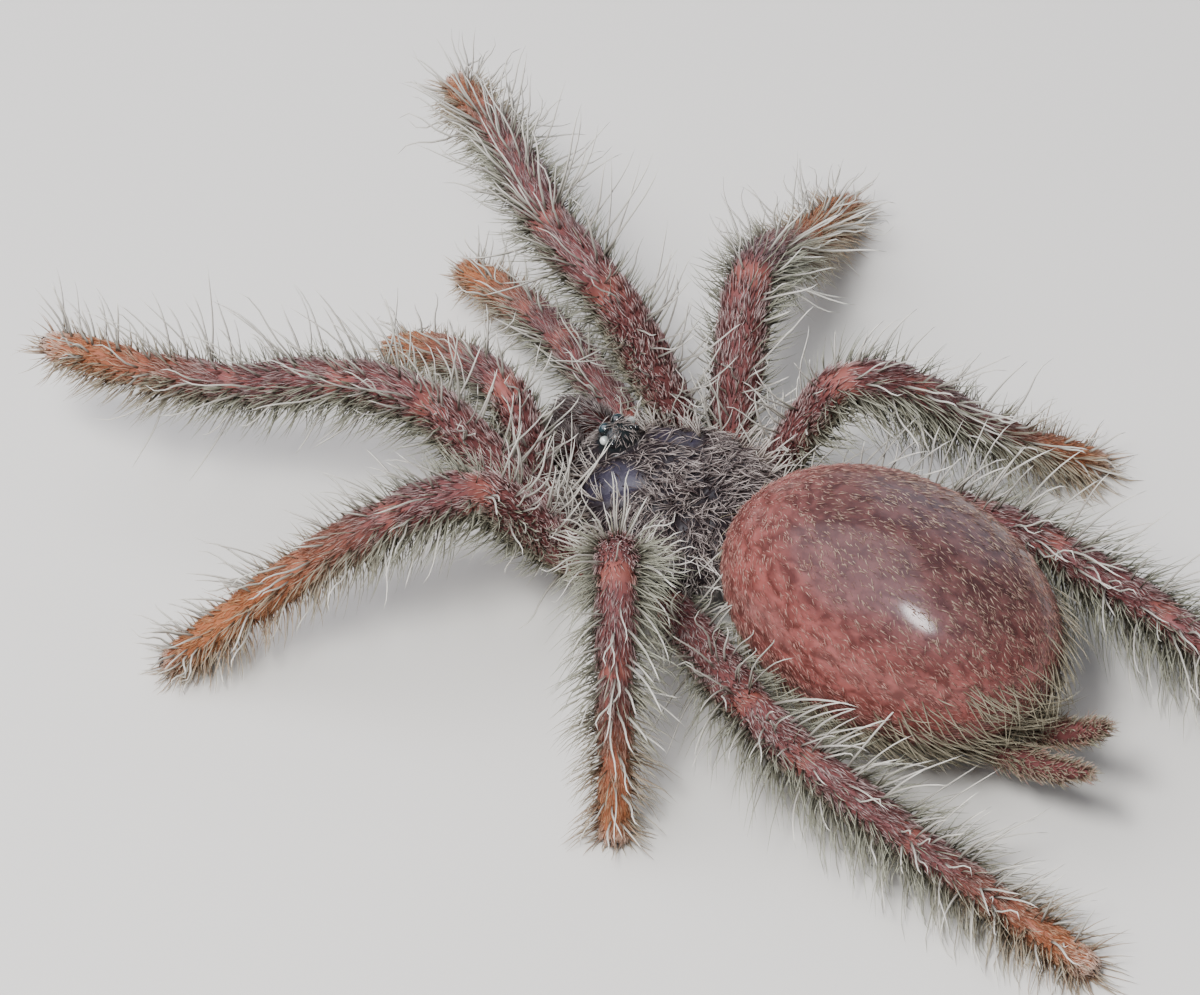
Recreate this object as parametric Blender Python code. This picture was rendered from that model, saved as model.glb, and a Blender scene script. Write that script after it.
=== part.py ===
"""A young tarantula, as a still, life-size model: head towards -Y, its left side at +X.

Points are given as left, forward and up, in millimetres, from a point on the floor under
the middle of the carapace. Each solid holds the body and its coat of short hair. The front
legs are raised, and the other six stand on small flats at floor level.
"""
from math import asin, ceil, cos, degrees, radians, sin, sqrt

import bmesh
import bpy
from mathutils import Matrix, Vector

MM = 0.001
NAME = "tarantula"

# Driving dimensions, in millimetres.
CARAPACE_LENGTH = 4.45
CARAPACE_WIDTH = 4.0
CARAPACE_RIM = 1.65      # height of the rim of the shell above the floor
CARAPACE_RISE = 1.1      # from the rim to the top of the shell
CARAPACE_LIP = 0.10      # depth of the rolled edge under the rim
CARAPACE_BLUNTNESS = 2.5     # 2 gives an ellipse, more gives squarer ends
HEAD_TAPER = 0.20        # share of the width lost at the head and gained behind
END_TAPER = 0.10         # share of the width lost at both ends
HEAD_LIFT = 0.06         # share of the rise gained at the head and lost behind
END_DROP = 0.16          # share of the rise lost at both ends
ABDOMEN_LENGTH = 7.9
ABDOMEN_WIDTH = 5.4
ABDOMEN_HEIGHT = 5.1
ABDOMEN_CENTRE = (0.0, -5.80, 2.85)
ABDOMEN_PITCH = -6.0     # degrees: its front hangs and its hind end is raised
TOE_RADIUS = 0.38        # the rounded end of a leg, coat and all
SOLE_CUT = 0.10          # how much of that round the floor takes off
GAP = 0.04               # left between touching solids
WELD = 0.001             # points closer than this are one
FLOOR_REACH = 40.0       # the slab that cuts the soles flat

SIDES = {"left": 1, "right": -1}

# Lengths of femur, patella, tibia, metatarsus and tarsus, for a palp (0) and legs 1 to 4.
# The tarsus counts to the middle of its round end, and a palp has no metatarsus.
SEGMENTS = {
    0: (2.35, 1.2, 1.5, 1.15),
    1: (3.6, 1.8, 2.3, 2.0, 1.85),
    2: (3.3, 1.7, 2.0, 1.8, 1.85),
    3: (3.0, 1.5, 1.8, 1.75, 1.75),
    4: (3.7, 1.7, 2.6, 2.4, 1.85),
}
# Where a limb leaves the breastplate, where its coxa ends, and where its femur starts.
ROOTS = {
    0: ((0.42, 1.60, 1.02), (1.04, 2.08, 1.06), (1.28, 2.40, 1.35)),
    1: ((0.62, 0.95, 1.05), (1.55, 1.33, 1.12), (1.95, 1.62, 1.40)),
    2: ((0.64, 0.32, 1.05), (1.75, 0.50, 1.12), (2.30, 0.60, 1.40)),
    3: ((0.64, -0.32, 1.05), (1.75, -0.50, 1.12), (2.30, -0.60, 1.40)),
    4: ((0.62, -0.95, 1.05), (1.55, -1.38, 1.12), (1.95, -1.70, 1.40)),
}
# The pose, in degrees: the femur's turn away from straight ahead, the turn of the rest of
# the limb, then how steeply each segment climbs. A limb that stands on the floor gives one
# climb fewer, because its tarsus reaches down to the floor.
POSES = {
    ("leg_1", "left"): (22, 29, (45, 6, -20, 0, 8)),
    ("leg_2", "left"): (61, 52, (53, -12, -32, -38)),
    ("leg_3", "left"): (132, 132, (61, 25, -40, -68)),
    ("leg_4", "left"): (157, 187, (9, -4, -16, -12)),
    ("leg_1", "right"): (-22, 28, (64, 19, -2, -16, -22)),
    ("leg_2", "right"): (57, 68, (50, -27, -35, -28)),
    ("leg_3", "right"): (142, 118, (64, -15, -50, -38)),
    ("leg_4", "right"): (155, 171, (13, -7, -10, -14)),
    ("palp", "left"): (-5, -6, (62, -6, -24, -37)),
    ("palp", "right"): (14, 13, (9, -6, -14, -21)),
}
# Radius at the start, middle and end of coxa, trochanter and the segments after them.
LEG_RADII = (
    (0.27, 0.36, 0.40), (0.41, 0.43, 0.46), (0.47, 0.70, 0.58), (0.57, 0.64, 0.55),
    (0.55, 0.62, 0.51), (0.51, 0.54, 0.45), (0.45, 0.47, TOE_RADIUS),
)
PALP_RADII = (
    (0.22, 0.27, 0.29), (0.32, 0.35, 0.37), (0.38, 0.48, 0.46), (0.45, 0.46, 0.45),
    (0.45, 0.46, 0.43), (0.42, 0.42, 0.34),
)
BEND_SHARE = 0.42        # how much of the shorter neighbour a rounded bend takes up
STRAIGHT = 12.0          # degrees; a smaller bend needs no rounding
BEND_STEP = 45.0         # degrees of bend for each further stretch of its curve

SPINNERET_BASE = (0.42, 8.6, 1.30)      # aside, back and up
SPINNERET_STEPS = (0.95, 0.80, 0.75, 0.45)
SPINNERET_RADII = (0.34, 0.35, 0.32, 0.27, 0.15)
SPINNERET_CLIMBS = {"left": (10, 18, 30, 34), "right": (18, 30, 42, 48)}
STERNUM = {"centre": (0.0, 0.0, 1.12), "half": (0.50, 1.30, 0.38), "taper": 0.12}
# The waist, as points of its middle line, and its radius at each.
WAIST_LINE = ((0.0, -1.42, 1.25), (0.0, -2.0, 1.35), (0.0, -2.9, 1.65))
WAIST_RADII = (0.22, 0.28, 0.34)
CHELICERA = {"centre": (0.45, 2.88, 1.68), "half": (0.41, 0.88, 0.60), "pitch": -20.0}
# A fang folds back under its jaw: forward and up at five places, and its radius there.
FANG_LINE = ((3.52, 1.10), (3.42, 0.86), (3.15, 0.68), (2.80, 0.62), (2.50, 0.68))
FANG_RADII = (0.17, 0.16, 0.13, 0.09, 0.04)
EYE_MOUND = {"centre": (0.0, 1.55, 2.55), "half": (0.48, 0.36, 0.38)}
# Eyes: place on the eye mound as left and forward, and radius.
EYES = {
    "median_front": (0.20, 1.77, 0.150),
    "side_front": (0.42, 1.57, 0.100),
    "side_rear": (0.36, 1.36, 0.075),
    "median_rear": (0.19, 1.34, 0.060),
}
EYE_SHOWING = 0.55       # share of an eye's radius that stands out of its socket
SOCKET_GAP = 0.015

# How finely the round solids are cut: segments round, and rings from end to end.
SHELL_FACETS = (24, 12)
ABDOMEN_FACETS = (28, 16)
MOUND_FACETS = (16, 9)
STERNUM_FACETS = (16, 8)
JAW_FACETS = (14, 10)
EYE_FACETS = (8, 6)
LIMB_SIDES_LEVEL = 3     # a tube has four sides, and two more for each level
FANG_SIDES_LEVEL = 2
ROUND_END_ANGLES = (30, 55, 75)     # degrees round the end of a limb, for its last rings
CREASE_ANGLE = 50.0      # degrees between faces that stay sharp


def place(left, forward, up):
    """A point in metres, from millimetres left, forward and up."""
    return Vector((left, -forward, up)) * MM


def material(name, colour, roughness):
    made = bpy.data.materials.new(name)
    made.use_nodes = True
    shader = made.node_tree.nodes["Principled BSDF"]
    shader.inputs["Base Color"].default_value = (*colour, 1.0)
    shader.inputs["Roughness"].default_value = roughness
    shader.inputs["Metallic"].default_value = 0.0
    made.diffuse_color = (*colour, 1.0)
    return made


def clear_scene():
    for old in list(bpy.data.objects):
        bpy.data.objects.remove(old, do_unlink=True)


def new_object(name, mesh, collection, finish=None):
    made = bpy.data.objects.new(name, mesh)
    collection.objects.link(made)
    if finish:
        mesh.materials.clear()
        mesh.materials.append(finish)
        mesh.shade_smooth()
        mesh.set_sharp_from_angle(angle=radians(CREASE_ANGLE))
    return made


def as_cutter(made):
    made.hide_render = True
    made.display_type = "WIRE"
    return made


def boolean(made, other, operation="DIFFERENCE"):
    step = made.modifiers.new(f"{operation.lower()}_{other.name}", "BOOLEAN")
    step.operation = operation
    step.object = other
    step.solver = "EXACT"


def shaped_ball(facets, shape):
    """A ball mesh whose unit points left, forward, up are moved by shape, in millimetres."""
    mesh = bpy.data.meshes.new("ball")
    work = bmesh.new()
    segments, rings = facets
    bmesh.ops.create_uvsphere(work, u_segments=segments, v_segments=rings, radius=1.0)
    for vertex in work.verts:
        vertex.co = place(*shape(vertex.co.x, -vertex.co.y, vertex.co.z))
    bmesh.ops.triangulate(work, faces=work.faces)
    work.to_mesh(mesh)
    work.free()
    return mesh


def ellipsoid(centre, half, pitch=0.0, grow=0.0):
    """A shape for shaped_ball: half sizes left, forward, up, with its front pitched up."""
    turn = Matrix.Rotation(radians(pitch), 3, "X")

    def shape(left, forward, up):
        sizes = [size + grow for size in half]
        turned = turn @ Vector((left * sizes[0], forward * sizes[1], up * sizes[2]))
        return [at + middle for at, middle in zip(turned, centre)]

    return shape


def carapace_shape(grow=0.0):
    """A low shell, widest at the third pair of legs, with a blunt, narrower head."""

    def shape(left, forward, up):
        ends = forward * forward
        swell = 1.0
        if ends < 1 - WELD:
            blunt_end = (1 - abs(forward) ** CARAPACE_BLUNTNESS) ** (1 / CARAPACE_BLUNTNESS)
            swell = blunt_end / sqrt(1 - ends)
        narrowing = 1 - HEAD_TAPER * forward - END_TAPER * ends
        rise = CARAPACE_RISE * (1 + HEAD_LIFT * forward - END_DROP * ends)
        return (
            left * swell * (CARAPACE_WIDTH / 2 * narrowing + grow),
            forward * (CARAPACE_LENGTH / 2 + grow),
            CARAPACE_RIM + up * ((rise if up > 0 else CARAPACE_LIP) + grow),
        )

    return shape


def sternum_shape(left, forward, up):
    """The breastplate and the body above it, between the coxae, narrower in front."""
    half_width, half_length, half_height = STERNUM["half"]
    narrowing = 1 - STERNUM["taper"] * forward
    return (
        left * half_width * narrowing,
        forward * half_length,
        STERNUM["centre"][2] + up * half_height,
    )


def rounded_route(corners, profile):
    """Points and radii along a limb: bends rounded, each segment with its own swelling."""
    steps = [second - first for first, second in zip(corners, corners[1:])]
    lengths = [step.length for step in steps]
    ways = [step.normalized() for step in steps]
    points = [corners[0]]
    radii = [profile[0][0]]
    for number, (start, way, length) in enumerate(zip(corners, ways, lengths)):
        first, middle, last = profile[number]
        if number:
            bend = degrees(ways[number - 1].angle(way))
            joint_radius = (profile[number - 1][2] + first) / 2
            if bend < STRAIGHT:
                points.append(start)
                radii.append(joint_radius)
            else:
                reach = BEND_SHARE * min(lengths[number - 1], length)
                before = start - ways[number - 1] * reach
                after = start + way * reach
                stretches = 1 + ceil(bend / BEND_STEP)
                for step in range(stretches + 1):
                    share = step / stretches
                    near = before.lerp(start, share)
                    points.append(near.lerp(start.lerp(after, share), share))
                    radii.append(joint_radius)
        points.append(start + way * length / 2)
        radii.append(middle)
    points.append(corners[-1])
    radii.append(profile[-1][2])
    return points, radii, ways[-1]


def limb_corners(kind, side):
    """The joints of a limb, from the breastplate to the middle of its round end."""
    femur_turn, limb_turn, climbs = POSES[kind, side]
    number = int(kind[-1]) if kind[-1].isdigit() else 0
    sign = SIDES[side]
    corners = [Vector((sign * left, forward, up)) for left, forward, up in ROOTS[number]]
    lengths = SEGMENTS[number]
    for index, length in enumerate(lengths):
        if index < len(climbs):
            climb = radians(climbs[index])
        else:
            drop = TOE_RADIUS - SOLE_CUT - corners[-1].z
            climb = asin(drop / length)
        turns = (femur_turn, (femur_turn + limb_turn) / 2)
        turn = radians(turns[index] if index < 2 else limb_turn)
        level = length * cos(climb)
        step = Vector((sign * level * sin(turn), level * cos(turn), length * sin(climb)))
        corners.append(corners[-1] + step)
    return corners


def spinneret_route(side):
    """Points along a spinneret: a short, thick finger behind the abdomen that curls up."""
    aside, back, up = SPINNERET_BASE
    route = [Vector((SIDES[side] * aside, -back, up))]
    for length, climb in zip(SPINNERET_STEPS, SPINNERET_CLIMBS[side]):
        level = length * cos(radians(climb))
        step = Vector((0.0, -level, length * sin(radians(climb))))
        route.append(route[-1] + step)
    return route


def tube(name, points, radii, collection, finish, sides_level=LIMB_SIDES_LEVEL):
    """A closed solid round a route: a bevelled curve made a mesh, with its caps welded."""
    curve = bpy.data.curves.new(name, "CURVE")
    curve.dimensions = "3D"
    curve.bevel_depth = MM
    curve.bevel_resolution = sides_level
    curve.use_fill_caps = True
    spline = curve.splines.new("POLY")
    spline.points.add(len(points) - 1)
    for knot, at, radius in zip(spline.points, points, radii):
        knot.co = (*place(*at), 1.0)
        knot.radius = radius
    guide = bpy.data.objects.new(f"{name}_guide", curve)
    collection.objects.link(guide)
    bpy.context.view_layer.update()
    graph = bpy.context.evaluated_depsgraph_get()
    mesh = bpy.data.meshes.new_from_object(guide.evaluated_get(graph))
    made = new_object(name, mesh, collection, finish)
    made.matrix_world = guide.matrix_world
    bpy.data.objects.remove(guide, do_unlink=True)
    work = bmesh.new()
    work.from_mesh(mesh)
    bmesh.ops.remove_doubles(work, verts=work.verts, dist=WELD * MM)
    bmesh.ops.triangulate(work, faces=work.faces)
    bmesh.ops.recalc_face_normals(work, faces=work.faces)
    work.to_mesh(mesh)
    work.free()
    mesh.shade_smooth()
    return made


def round_end(points, radii, way, radius):
    """Adds a half-ball to the end of a route."""
    centre = points[-1]
    for angle in ROUND_END_ANGLES:
        points.append(centre + way * radius * sin(radians(angle)))
        radii.append(radius * cos(radians(angle)))


def make_limb(kind, side, collection, finish, cutters):
    profile = PALP_RADII if kind == "palp" else LEG_RADII
    points, radii, way = rounded_route(limb_corners(kind, side), profile)
    round_end(points, radii, way, radii[-1])
    made = tube(f"{kind}_{side}", points, radii, collection, finish)
    for cutter in cutters:
        boolean(made, cutter)
    return made


def make_eye(name, left, forward, radius, mound, collection, socket_collection, finish):
    """A ball sunk in the eye mound, and the socket that the shell gets for it."""
    middle, half = mound["centre"], mound["half"]
    along = (left - middle[0]) / half[0]
    ahead = (forward - middle[1]) / half[1]
    up = middle[2] + half[2] * sqrt(1 - along * along - ahead * ahead)
    outward = Vector((along / half[0], ahead / half[1], (up - middle[2]) / half[2] ** 2))
    centre = Vector((left, forward, up)) - outward.normalized() * radius * (1 - EYE_SHOWING)
    ball = shaped_ball(EYE_FACETS, ellipsoid(centre, (radius,) * 3))
    made = new_object(name, ball, collection, finish)
    hole = shaped_ball(EYE_FACETS, ellipsoid(centre, (radius,) * 3, grow=SOCKET_GAP))
    return made, as_cutter(new_object(f"socket_{name}", hole, socket_collection))


def stand_on_origin(parts, root):
    """Moves the whole animal so that the middle of its outline stands over the origin."""
    bpy.context.view_layer.update()
    graph = bpy.context.evaluated_depsgraph_get()
    corners = []
    for part in parts:
        seen = part.evaluated_get(graph)
        corners += [part.matrix_world @ vertex.co for vertex in seen.data.vertices]
    middle = [(min(c[axis] for c in corners) + max(c[axis] for c in corners)) / 2
              for axis in (0, 1)]
    root.location = (-middle[0], -middle[1], 0.0)


clear_scene()
body = bpy.data.collections.new(NAME)
tools = bpy.data.collections.new(f"{NAME}_cutters")
bpy.context.scene.collection.children.link(body)
bpy.context.scene.collection.children.link(tools)

leg_hair = material("red_brown_leg_hair", (0.26, 0.10, 0.07), 0.6)
belly_skin = material("swollen_abdomen_skin", (0.30, 0.11, 0.09), 0.35)
shell = material("dark_shell_plate", (0.035, 0.03, 0.04), 0.3)
jaw_skin = material("dark_jaw_hair", (0.10, 0.05, 0.04), 0.5)
fang_horn = material("black_fang", (0.02, 0.012, 0.012), 0.2)
eye_lens = material("black_eye_lens", (0.01, 0.01, 0.012), 0.08)

# Cutters: the floor under the soles, and the bodies that others are trimmed to.
slab_mesh = bpy.data.meshes.new("floor_slab")
slab_work = bmesh.new()
bmesh.ops.create_cube(slab_work, size=FLOOR_REACH * MM)
bmesh.ops.translate(slab_work, verts=slab_work.verts, vec=(0, 0, -FLOOR_REACH * MM / 2))
slab_work.to_mesh(slab_mesh)
slab_work.free()
floor_slab = as_cutter(new_object("floor_slab", slab_mesh, tools))
shell_room = as_cutter(new_object(
    "shell_room", shaped_ball(SHELL_FACETS, carapace_shape(grow=GAP)), tools))
abdomen_half = (ABDOMEN_WIDTH / 2, ABDOMEN_LENGTH / 2, ABDOMEN_HEIGHT / 2)
grown_abdomen = ellipsoid(ABDOMEN_CENTRE, abdomen_half, ABDOMEN_PITCH, GAP)
abdomen_room = as_cutter(new_object(
    "abdomen_room", shaped_ball(ABDOMEN_FACETS, grown_abdomen), tools))

# The shell over the head and chest, with the mound that carries the eyes.
carapace = new_object("carapace", shaped_ball(SHELL_FACETS, carapace_shape()), body, shell)
mound_ball = shaped_ball(MOUND_FACETS, ellipsoid(EYE_MOUND["centre"], EYE_MOUND["half"]))
mound = as_cutter(new_object("eye_mound", mound_ball, tools))
boolean(carapace, mound, "UNION")
parts = [carapace]
for eye, (left, forward, radius) in EYES.items():
    for side, sign in SIDES.items():
        made, socket = make_eye(
            f"eye_{eye}_{side}", sign * left, forward, radius, EYE_MOUND, body, tools, eye_lens)
        boolean(carapace, socket)
        parts.append(made)

# The breastplate, the waist and the abdomen.
sternum_ball = shaped_ball(STERNUM_FACETS, sternum_shape)
parts.append(new_object("sternum", sternum_ball, body, jaw_skin))
pedicel = tube("pedicel", WAIST_LINE, WAIST_RADII, body, jaw_skin)
boolean(pedicel, shell_room)
boolean(pedicel, abdomen_room)
parts.append(pedicel)
abdomen_ball = shaped_ball(
    ABDOMEN_FACETS, ellipsoid(ABDOMEN_CENTRE, abdomen_half, ABDOMEN_PITCH))
abdomen = new_object("abdomen", abdomen_ball, body, belly_skin)
boolean(abdomen, shell_room)
parts.append(abdomen)

# Jaws with their fangs, and the spinnerets.
for side, sign in SIDES.items():
    left, forward, up = CHELICERA["centre"]
    centre = (sign * left, forward, up)
    bare_jaw = ellipsoid(centre, CHELICERA["half"], CHELICERA["pitch"])
    grown_jaw = ellipsoid(centre, CHELICERA["half"], CHELICERA["pitch"], GAP)
    jaw = new_object(f"chelicera_{side}", shaped_ball(JAW_FACETS, bare_jaw), body, jaw_skin)
    boolean(jaw, shell_room)
    jaw_room = as_cutter(new_object(
        f"jaw_room_{side}", shaped_ball(JAW_FACETS, grown_jaw), tools))
    hook = [Vector((sign * left, ahead, height)) for ahead, height in FANG_LINE]
    fang = tube(f"fang_{side}", hook, FANG_RADII, body, fang_horn, FANG_SIDES_LEVEL)
    boolean(fang, jaw_room)
    spinneret = tube(f"spinneret_{side}", spinneret_route(side), SPINNERET_RADII,
                     body, belly_skin)
    boolean(spinneret, abdomen_room)
    parts += [jaw, fang, spinneret]

# Legs and palps.
for kind, side in POSES:
    trims = [floor_slab, shell_room]
    if kind == "leg_4":
        trims.append(abdomen_room)
    parts.append(make_limb(kind, side, body, leg_hair, trims))

origin = bpy.data.objects.new("tarantula_origin", None)
body.objects.link(origin)
for made in parts + list(tools.objects):
    made.parent = origin
stand_on_origin(parts, origin)
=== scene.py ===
import math

import bpy
import numpy as np
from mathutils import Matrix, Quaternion, Vector, kdtree


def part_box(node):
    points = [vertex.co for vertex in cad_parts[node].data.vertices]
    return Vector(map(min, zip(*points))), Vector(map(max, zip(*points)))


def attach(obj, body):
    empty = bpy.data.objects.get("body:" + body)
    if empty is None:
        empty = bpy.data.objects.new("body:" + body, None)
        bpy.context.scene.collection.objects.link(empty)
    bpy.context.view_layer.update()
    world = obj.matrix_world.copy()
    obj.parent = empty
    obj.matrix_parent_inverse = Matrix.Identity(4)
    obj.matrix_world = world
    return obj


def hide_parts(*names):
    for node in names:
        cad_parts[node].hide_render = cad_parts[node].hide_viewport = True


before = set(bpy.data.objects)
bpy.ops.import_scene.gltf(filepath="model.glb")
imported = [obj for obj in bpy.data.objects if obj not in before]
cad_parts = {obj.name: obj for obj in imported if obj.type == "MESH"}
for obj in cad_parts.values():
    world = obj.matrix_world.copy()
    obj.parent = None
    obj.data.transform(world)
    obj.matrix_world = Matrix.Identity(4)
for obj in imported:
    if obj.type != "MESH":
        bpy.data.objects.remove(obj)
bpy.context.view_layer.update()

# ---------------------------------------------------------------------------
# Studio. The model stands on a pale matt board under large soft lamps, with one
# small lamp by the lens for the wet glint on the abdomen and in the eyes. The
# camera is a long macro lens, behind and to the left of the animal, looking down.
# ---------------------------------------------------------------------------
MM = 0.001               # all lengths here are in millimetres
shell_low, shell_high = (np.array(corner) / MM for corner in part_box("carapace"))
MIDDLE = (shell_low + shell_high) / 2      # of the shell, in the frame
HEADING = math.radians(43)                 # the head's turn into the depth of the view
CAMERA_RISE = math.radians(45)
CAMERA_DISTANCE = 200.0
SENSOR = 36.0
FIELD = 24.0                               # width of the view at the animal
AIM = (-1.5, -0.69, 2.86)                  # right and up from the shell, and its height
BOARD = 1200.0
SKY_STRENGTH = 0.34
LIT_POINT = (0, -2, 2)                     # between the shell and the abdomen
GLINT_HEIGHT = 23.0                        # of the small lamp, which is twice as long
GLINT_TURN = math.radians(-40)             # lays its glint along the abdomen


def linear(code):
    """An sRGB hex colour as linear red, green, blue and alpha."""
    parts = [int(code[place:place + 2], 16) / 255 for place in (1, 3, 5)]
    return (*(c / 12.92 if c <= 0.04045 else ((c + 0.055) / 1.055) ** 2.4 for c in parts), 1.0)


def node(tree, kind, links=(), **settings):
    """Adds a node: settings are its properties or, with a leading _, its sockets by name."""
    made = tree.nodes.new(kind)
    for name, value in settings.items():
        if name.startswith("_"):
            made.inputs[name[1:].replace("_", " ")].default_value = value
        else:
            setattr(made, name, value)
    for socket, source in links:
        tree.links.new(source, made.inputs[socket])
    return made


def fresh_material(name, **values):
    """A new Principled material, its uniform values set on the shader's own sockets."""
    made = bpy.data.materials.new(name)
    made.use_nodes = True
    shader = made.node_tree.nodes["Principled BSDF"]
    for socket, value in values.items():
        shader.inputs[socket.replace("_", " ")].default_value = value
    return made, made.node_tree, shader


def deselect():
    bpy.ops.object.select_all(action="DESELECT")


def in_frame(left, forward, up):
    """A point of the animal as a point of the frame."""
    return np.array([MIDDLE[0] + left, MIDDLE[1] - forward, up])


def set_up(name, data, where, way):
    """A camera or lamp, stood at a point and aimed this way, upright."""
    made = bpy.data.objects.new(name, data)
    bpy.context.collection.objects.link(made)
    made.rotation_mode = "QUATERNION"
    made.rotation_quaternion = Vector(way).to_track_quat("-Z", "Y")
    made.location = where * MM
    return made


def lamp(name, offset, size, power, colour):
    """A square soft lamp, offset from the animal and aimed at it; its power is in watts."""
    light = bpy.data.lights.new(name, "AREA")
    light.size = size * MM
    light.energy = power
    light.color = linear(colour)[:3]
    return set_up(name, light, in_frame(*LIT_POINT) + offset, -offset)


right_way = np.array([-math.sin(HEADING), math.cos(HEADING), 0.0])
away = np.array([-math.cos(HEADING), -math.sin(HEADING), 0.0])
up_way = np.array([0.0, 0.0, 1.0])
view_way = away * math.cos(CAMERA_RISE) - up_way * math.sin(CAMERA_RISE)
view_up = away * math.sin(CAMERA_RISE) + up_way * math.cos(CAMERA_RISE)
aim = in_frame(0, 0, AIM[2]) + right_way * AIM[0] + view_up * AIM[1]
lens = bpy.data.cameras.new("macro_lens")
lens.sensor_width = SENSOR
lens.lens = SENSOR * CAMERA_DISTANCE / FIELD
lens.clip_start = 10 * MM
lens.clip_end = 2000 * MM
bpy.context.scene.camera = set_up("camera", lens, aim - view_way * CAMERA_DISTANCE, view_way)

deselect()
bpy.ops.mesh.primitive_plane_add(size=BOARD * MM)
board = bpy.context.object
board.name = "pale_board"
# Uncoated display card: dull, warm off-white, with no gloss.
card, web, shader = fresh_material("matt_card", Base_Color=linear("#d9d6d0"), Roughness=0.9)
board.data.materials.append(card)

lamp("overhead_softbox", up_way * 160 - right_way * 110 + away * 20, 230, 0.54, "#f5f4fd")
lamp("rim_softbox", away * 170 + up_way * 90 + right_way * 60, 160, 0.12, "#e6edff")
glint = lamp("lens_lamp", -view_way * 120 - right_way * 30 + view_up * 33,
             2 * GLINT_HEIGHT, 0.22, "#ffffff")
glint.data.shape = "ELLIPSE"
glint.data.size_y = GLINT_HEIGHT * MM
glint.rotation_quaternion @= Quaternion((0, 0, 1), GLINT_TURN)
sky = bpy.data.worlds.new("studio_air")
sky.use_nodes = True
sky.node_tree.nodes["Background"].inputs["Color"].default_value = linear("#dfe3ea")
sky.node_tree.nodes["Background"].inputs["Strength"].default_value = SKY_STRENGTH
bpy.context.scene.world = sky

# ---------------------------------------------------------------------------
# Skin. A young tarantula's legs, waist and abdomen are one soft cuticle, thin
# and red-brown, which pales and reddens at the joints and is drawn tight over a
# swollen abdomen. Tubes round each limb's route are fused with the body.
# ---------------------------------------------------------------------------
SIDES = {"left": 1, "right": -1}
# Lengths from the trochanter outward: femur, patella, tibia, metatarsus, tarsus.
SEGMENTS = {
    "palp": (2.35, 1.2, 1.5, 1.15),
    "leg_1": (3.6, 1.8, 2.3, 2.0, 1.85),
    "leg_2": (3.3, 1.7, 2.0, 1.8, 1.85),
    "leg_3": (3.0, 1.5, 1.8, 1.75, 1.75),
    "leg_4": (3.7, 1.7, 2.6, 2.4, 1.85),
}
# Left, forward and up of each coxa's start and end and of the trochanter's end.
ROOTS = {
    "palp": ((0.42, 1.60, 1.02), (1.04, 2.08, 1.06), (1.28, 2.40, 1.35)),
    "leg_1": ((0.62, 0.95, 1.05), (1.55, 1.33, 1.12), (1.95, 1.62, 1.40)),
    "leg_2": ((0.64, 0.32, 1.05), (1.75, 0.50, 1.12), (2.30, 0.60, 1.40)),
    "leg_3": ((0.64, -0.32, 1.05), (1.75, -0.50, 1.12), (2.30, -0.60, 1.40)),
    "leg_4": ((0.62, -0.95, 1.05), (1.55, -1.38, 1.12), (1.95, -1.70, 1.40)),
}
# Degrees: the femur's turn away from straight ahead, the rest of the limb's, and
# each segment's climb. The tarsus of a limb that stands reaches down to the board.
POSES = {
    ("leg_1", "left"): (22, 29, (45, 6, -20, 0, 8)),
    ("leg_2", "left"): (61, 52, (53, -12, -32, -38)),
    ("leg_3", "left"): (132, 132, (61, 25, -40, -68)),
    ("leg_4", "left"): (157, 187, (9, -4, -16, -12)),
    ("leg_1", "right"): (-22, 28, (64, 19, -2, -16, -22)),
    ("leg_2", "right"): (57, 68, (50, -27, -35, -28)),
    ("leg_3", "right"): (142, 118, (64, -15, -50, -38)),
    ("leg_4", "right"): (155, 171, (13, -7, -10, -14)),
    ("palp", "left"): (-5, -6, (62, -6, -24, -37)),
    ("palp", "right"): (14, 13, (9, -6, -14, -21)),
}
TOE_HEIGHT = 0.28        # the middle of a standing leg's round end
TOE_RADIUS = 0.27
# Skin radius at the start, middle and end of coxa, trochanter, femur and onwards.
LEG_RADII = (
    (0.27, 0.33, 0.36), (0.35, 0.38, 0.39), (0.39, 0.49, 0.42), (0.41, 0.46, 0.40),
    (0.39, 0.44, 0.37), (0.36, 0.38, 0.33), (0.33, 0.34, TOE_RADIUS),
)
PALP_RADII = (
    (0.20, 0.24, 0.26), (0.27, 0.30, 0.31), (0.32, 0.40, 0.37), (0.37, 0.39, 0.36),
    (0.35, 0.38, 0.35), (0.34, 0.34, 0.27),
)
GIRTH = {"leg_1": 1.0, "leg_2": 1.0, "leg_3": 0.88, "leg_4": 0.92, "palp": 0.97}
BEND_SHARE = 0.42        # of the shorter neighbour, taken up by a joint's bend
STRAIGHT = 12.0          # degrees, under which a joint has no bend
ROUTE_STEP = 0.05
WAY_WINDOW = 9           # points over which a route's direction is evened out
TOE_COLOUR = {"leg_1": 0.68, "leg_2": 0.50, "leg_3": 0.66, "leg_4": 0.70, "palp": 0.56}
TOE_BLEND = 0.34         # share of a limb over which the foot's orange comes in
CREASE_DEPTH = 0.11      # share of the radius that a joint's membrane is drawn in
CREASE_WIDTH = 0.10
RED_WIDTH = 0.22         # the reddened skin beside a joint
SKIN_VOXEL = 0.079
SKIN_SMOOTHING = 4
ABDOMEN_CENTRE = (0.0, -5.80, 2.85)
ABDOMEN_HALF = (2.60, 3.86, 2.45)
ABDOMEN_PITCH = math.radians(-6)
CHELICERA_CENTRE = (0.45, 2.88, 1.68)
CHELICERA_HALF = (0.37, 0.83, 0.55)
CHELICERA_PITCH = math.radians(-20)
JAW_REACH = (0.45, 1.0, 0.75)              # the skin near a jaw that is dark like it
STERNUM = ((0, 0, 1.12), (0.48, 1.25, 0.36))   # centre and half sizes
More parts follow.
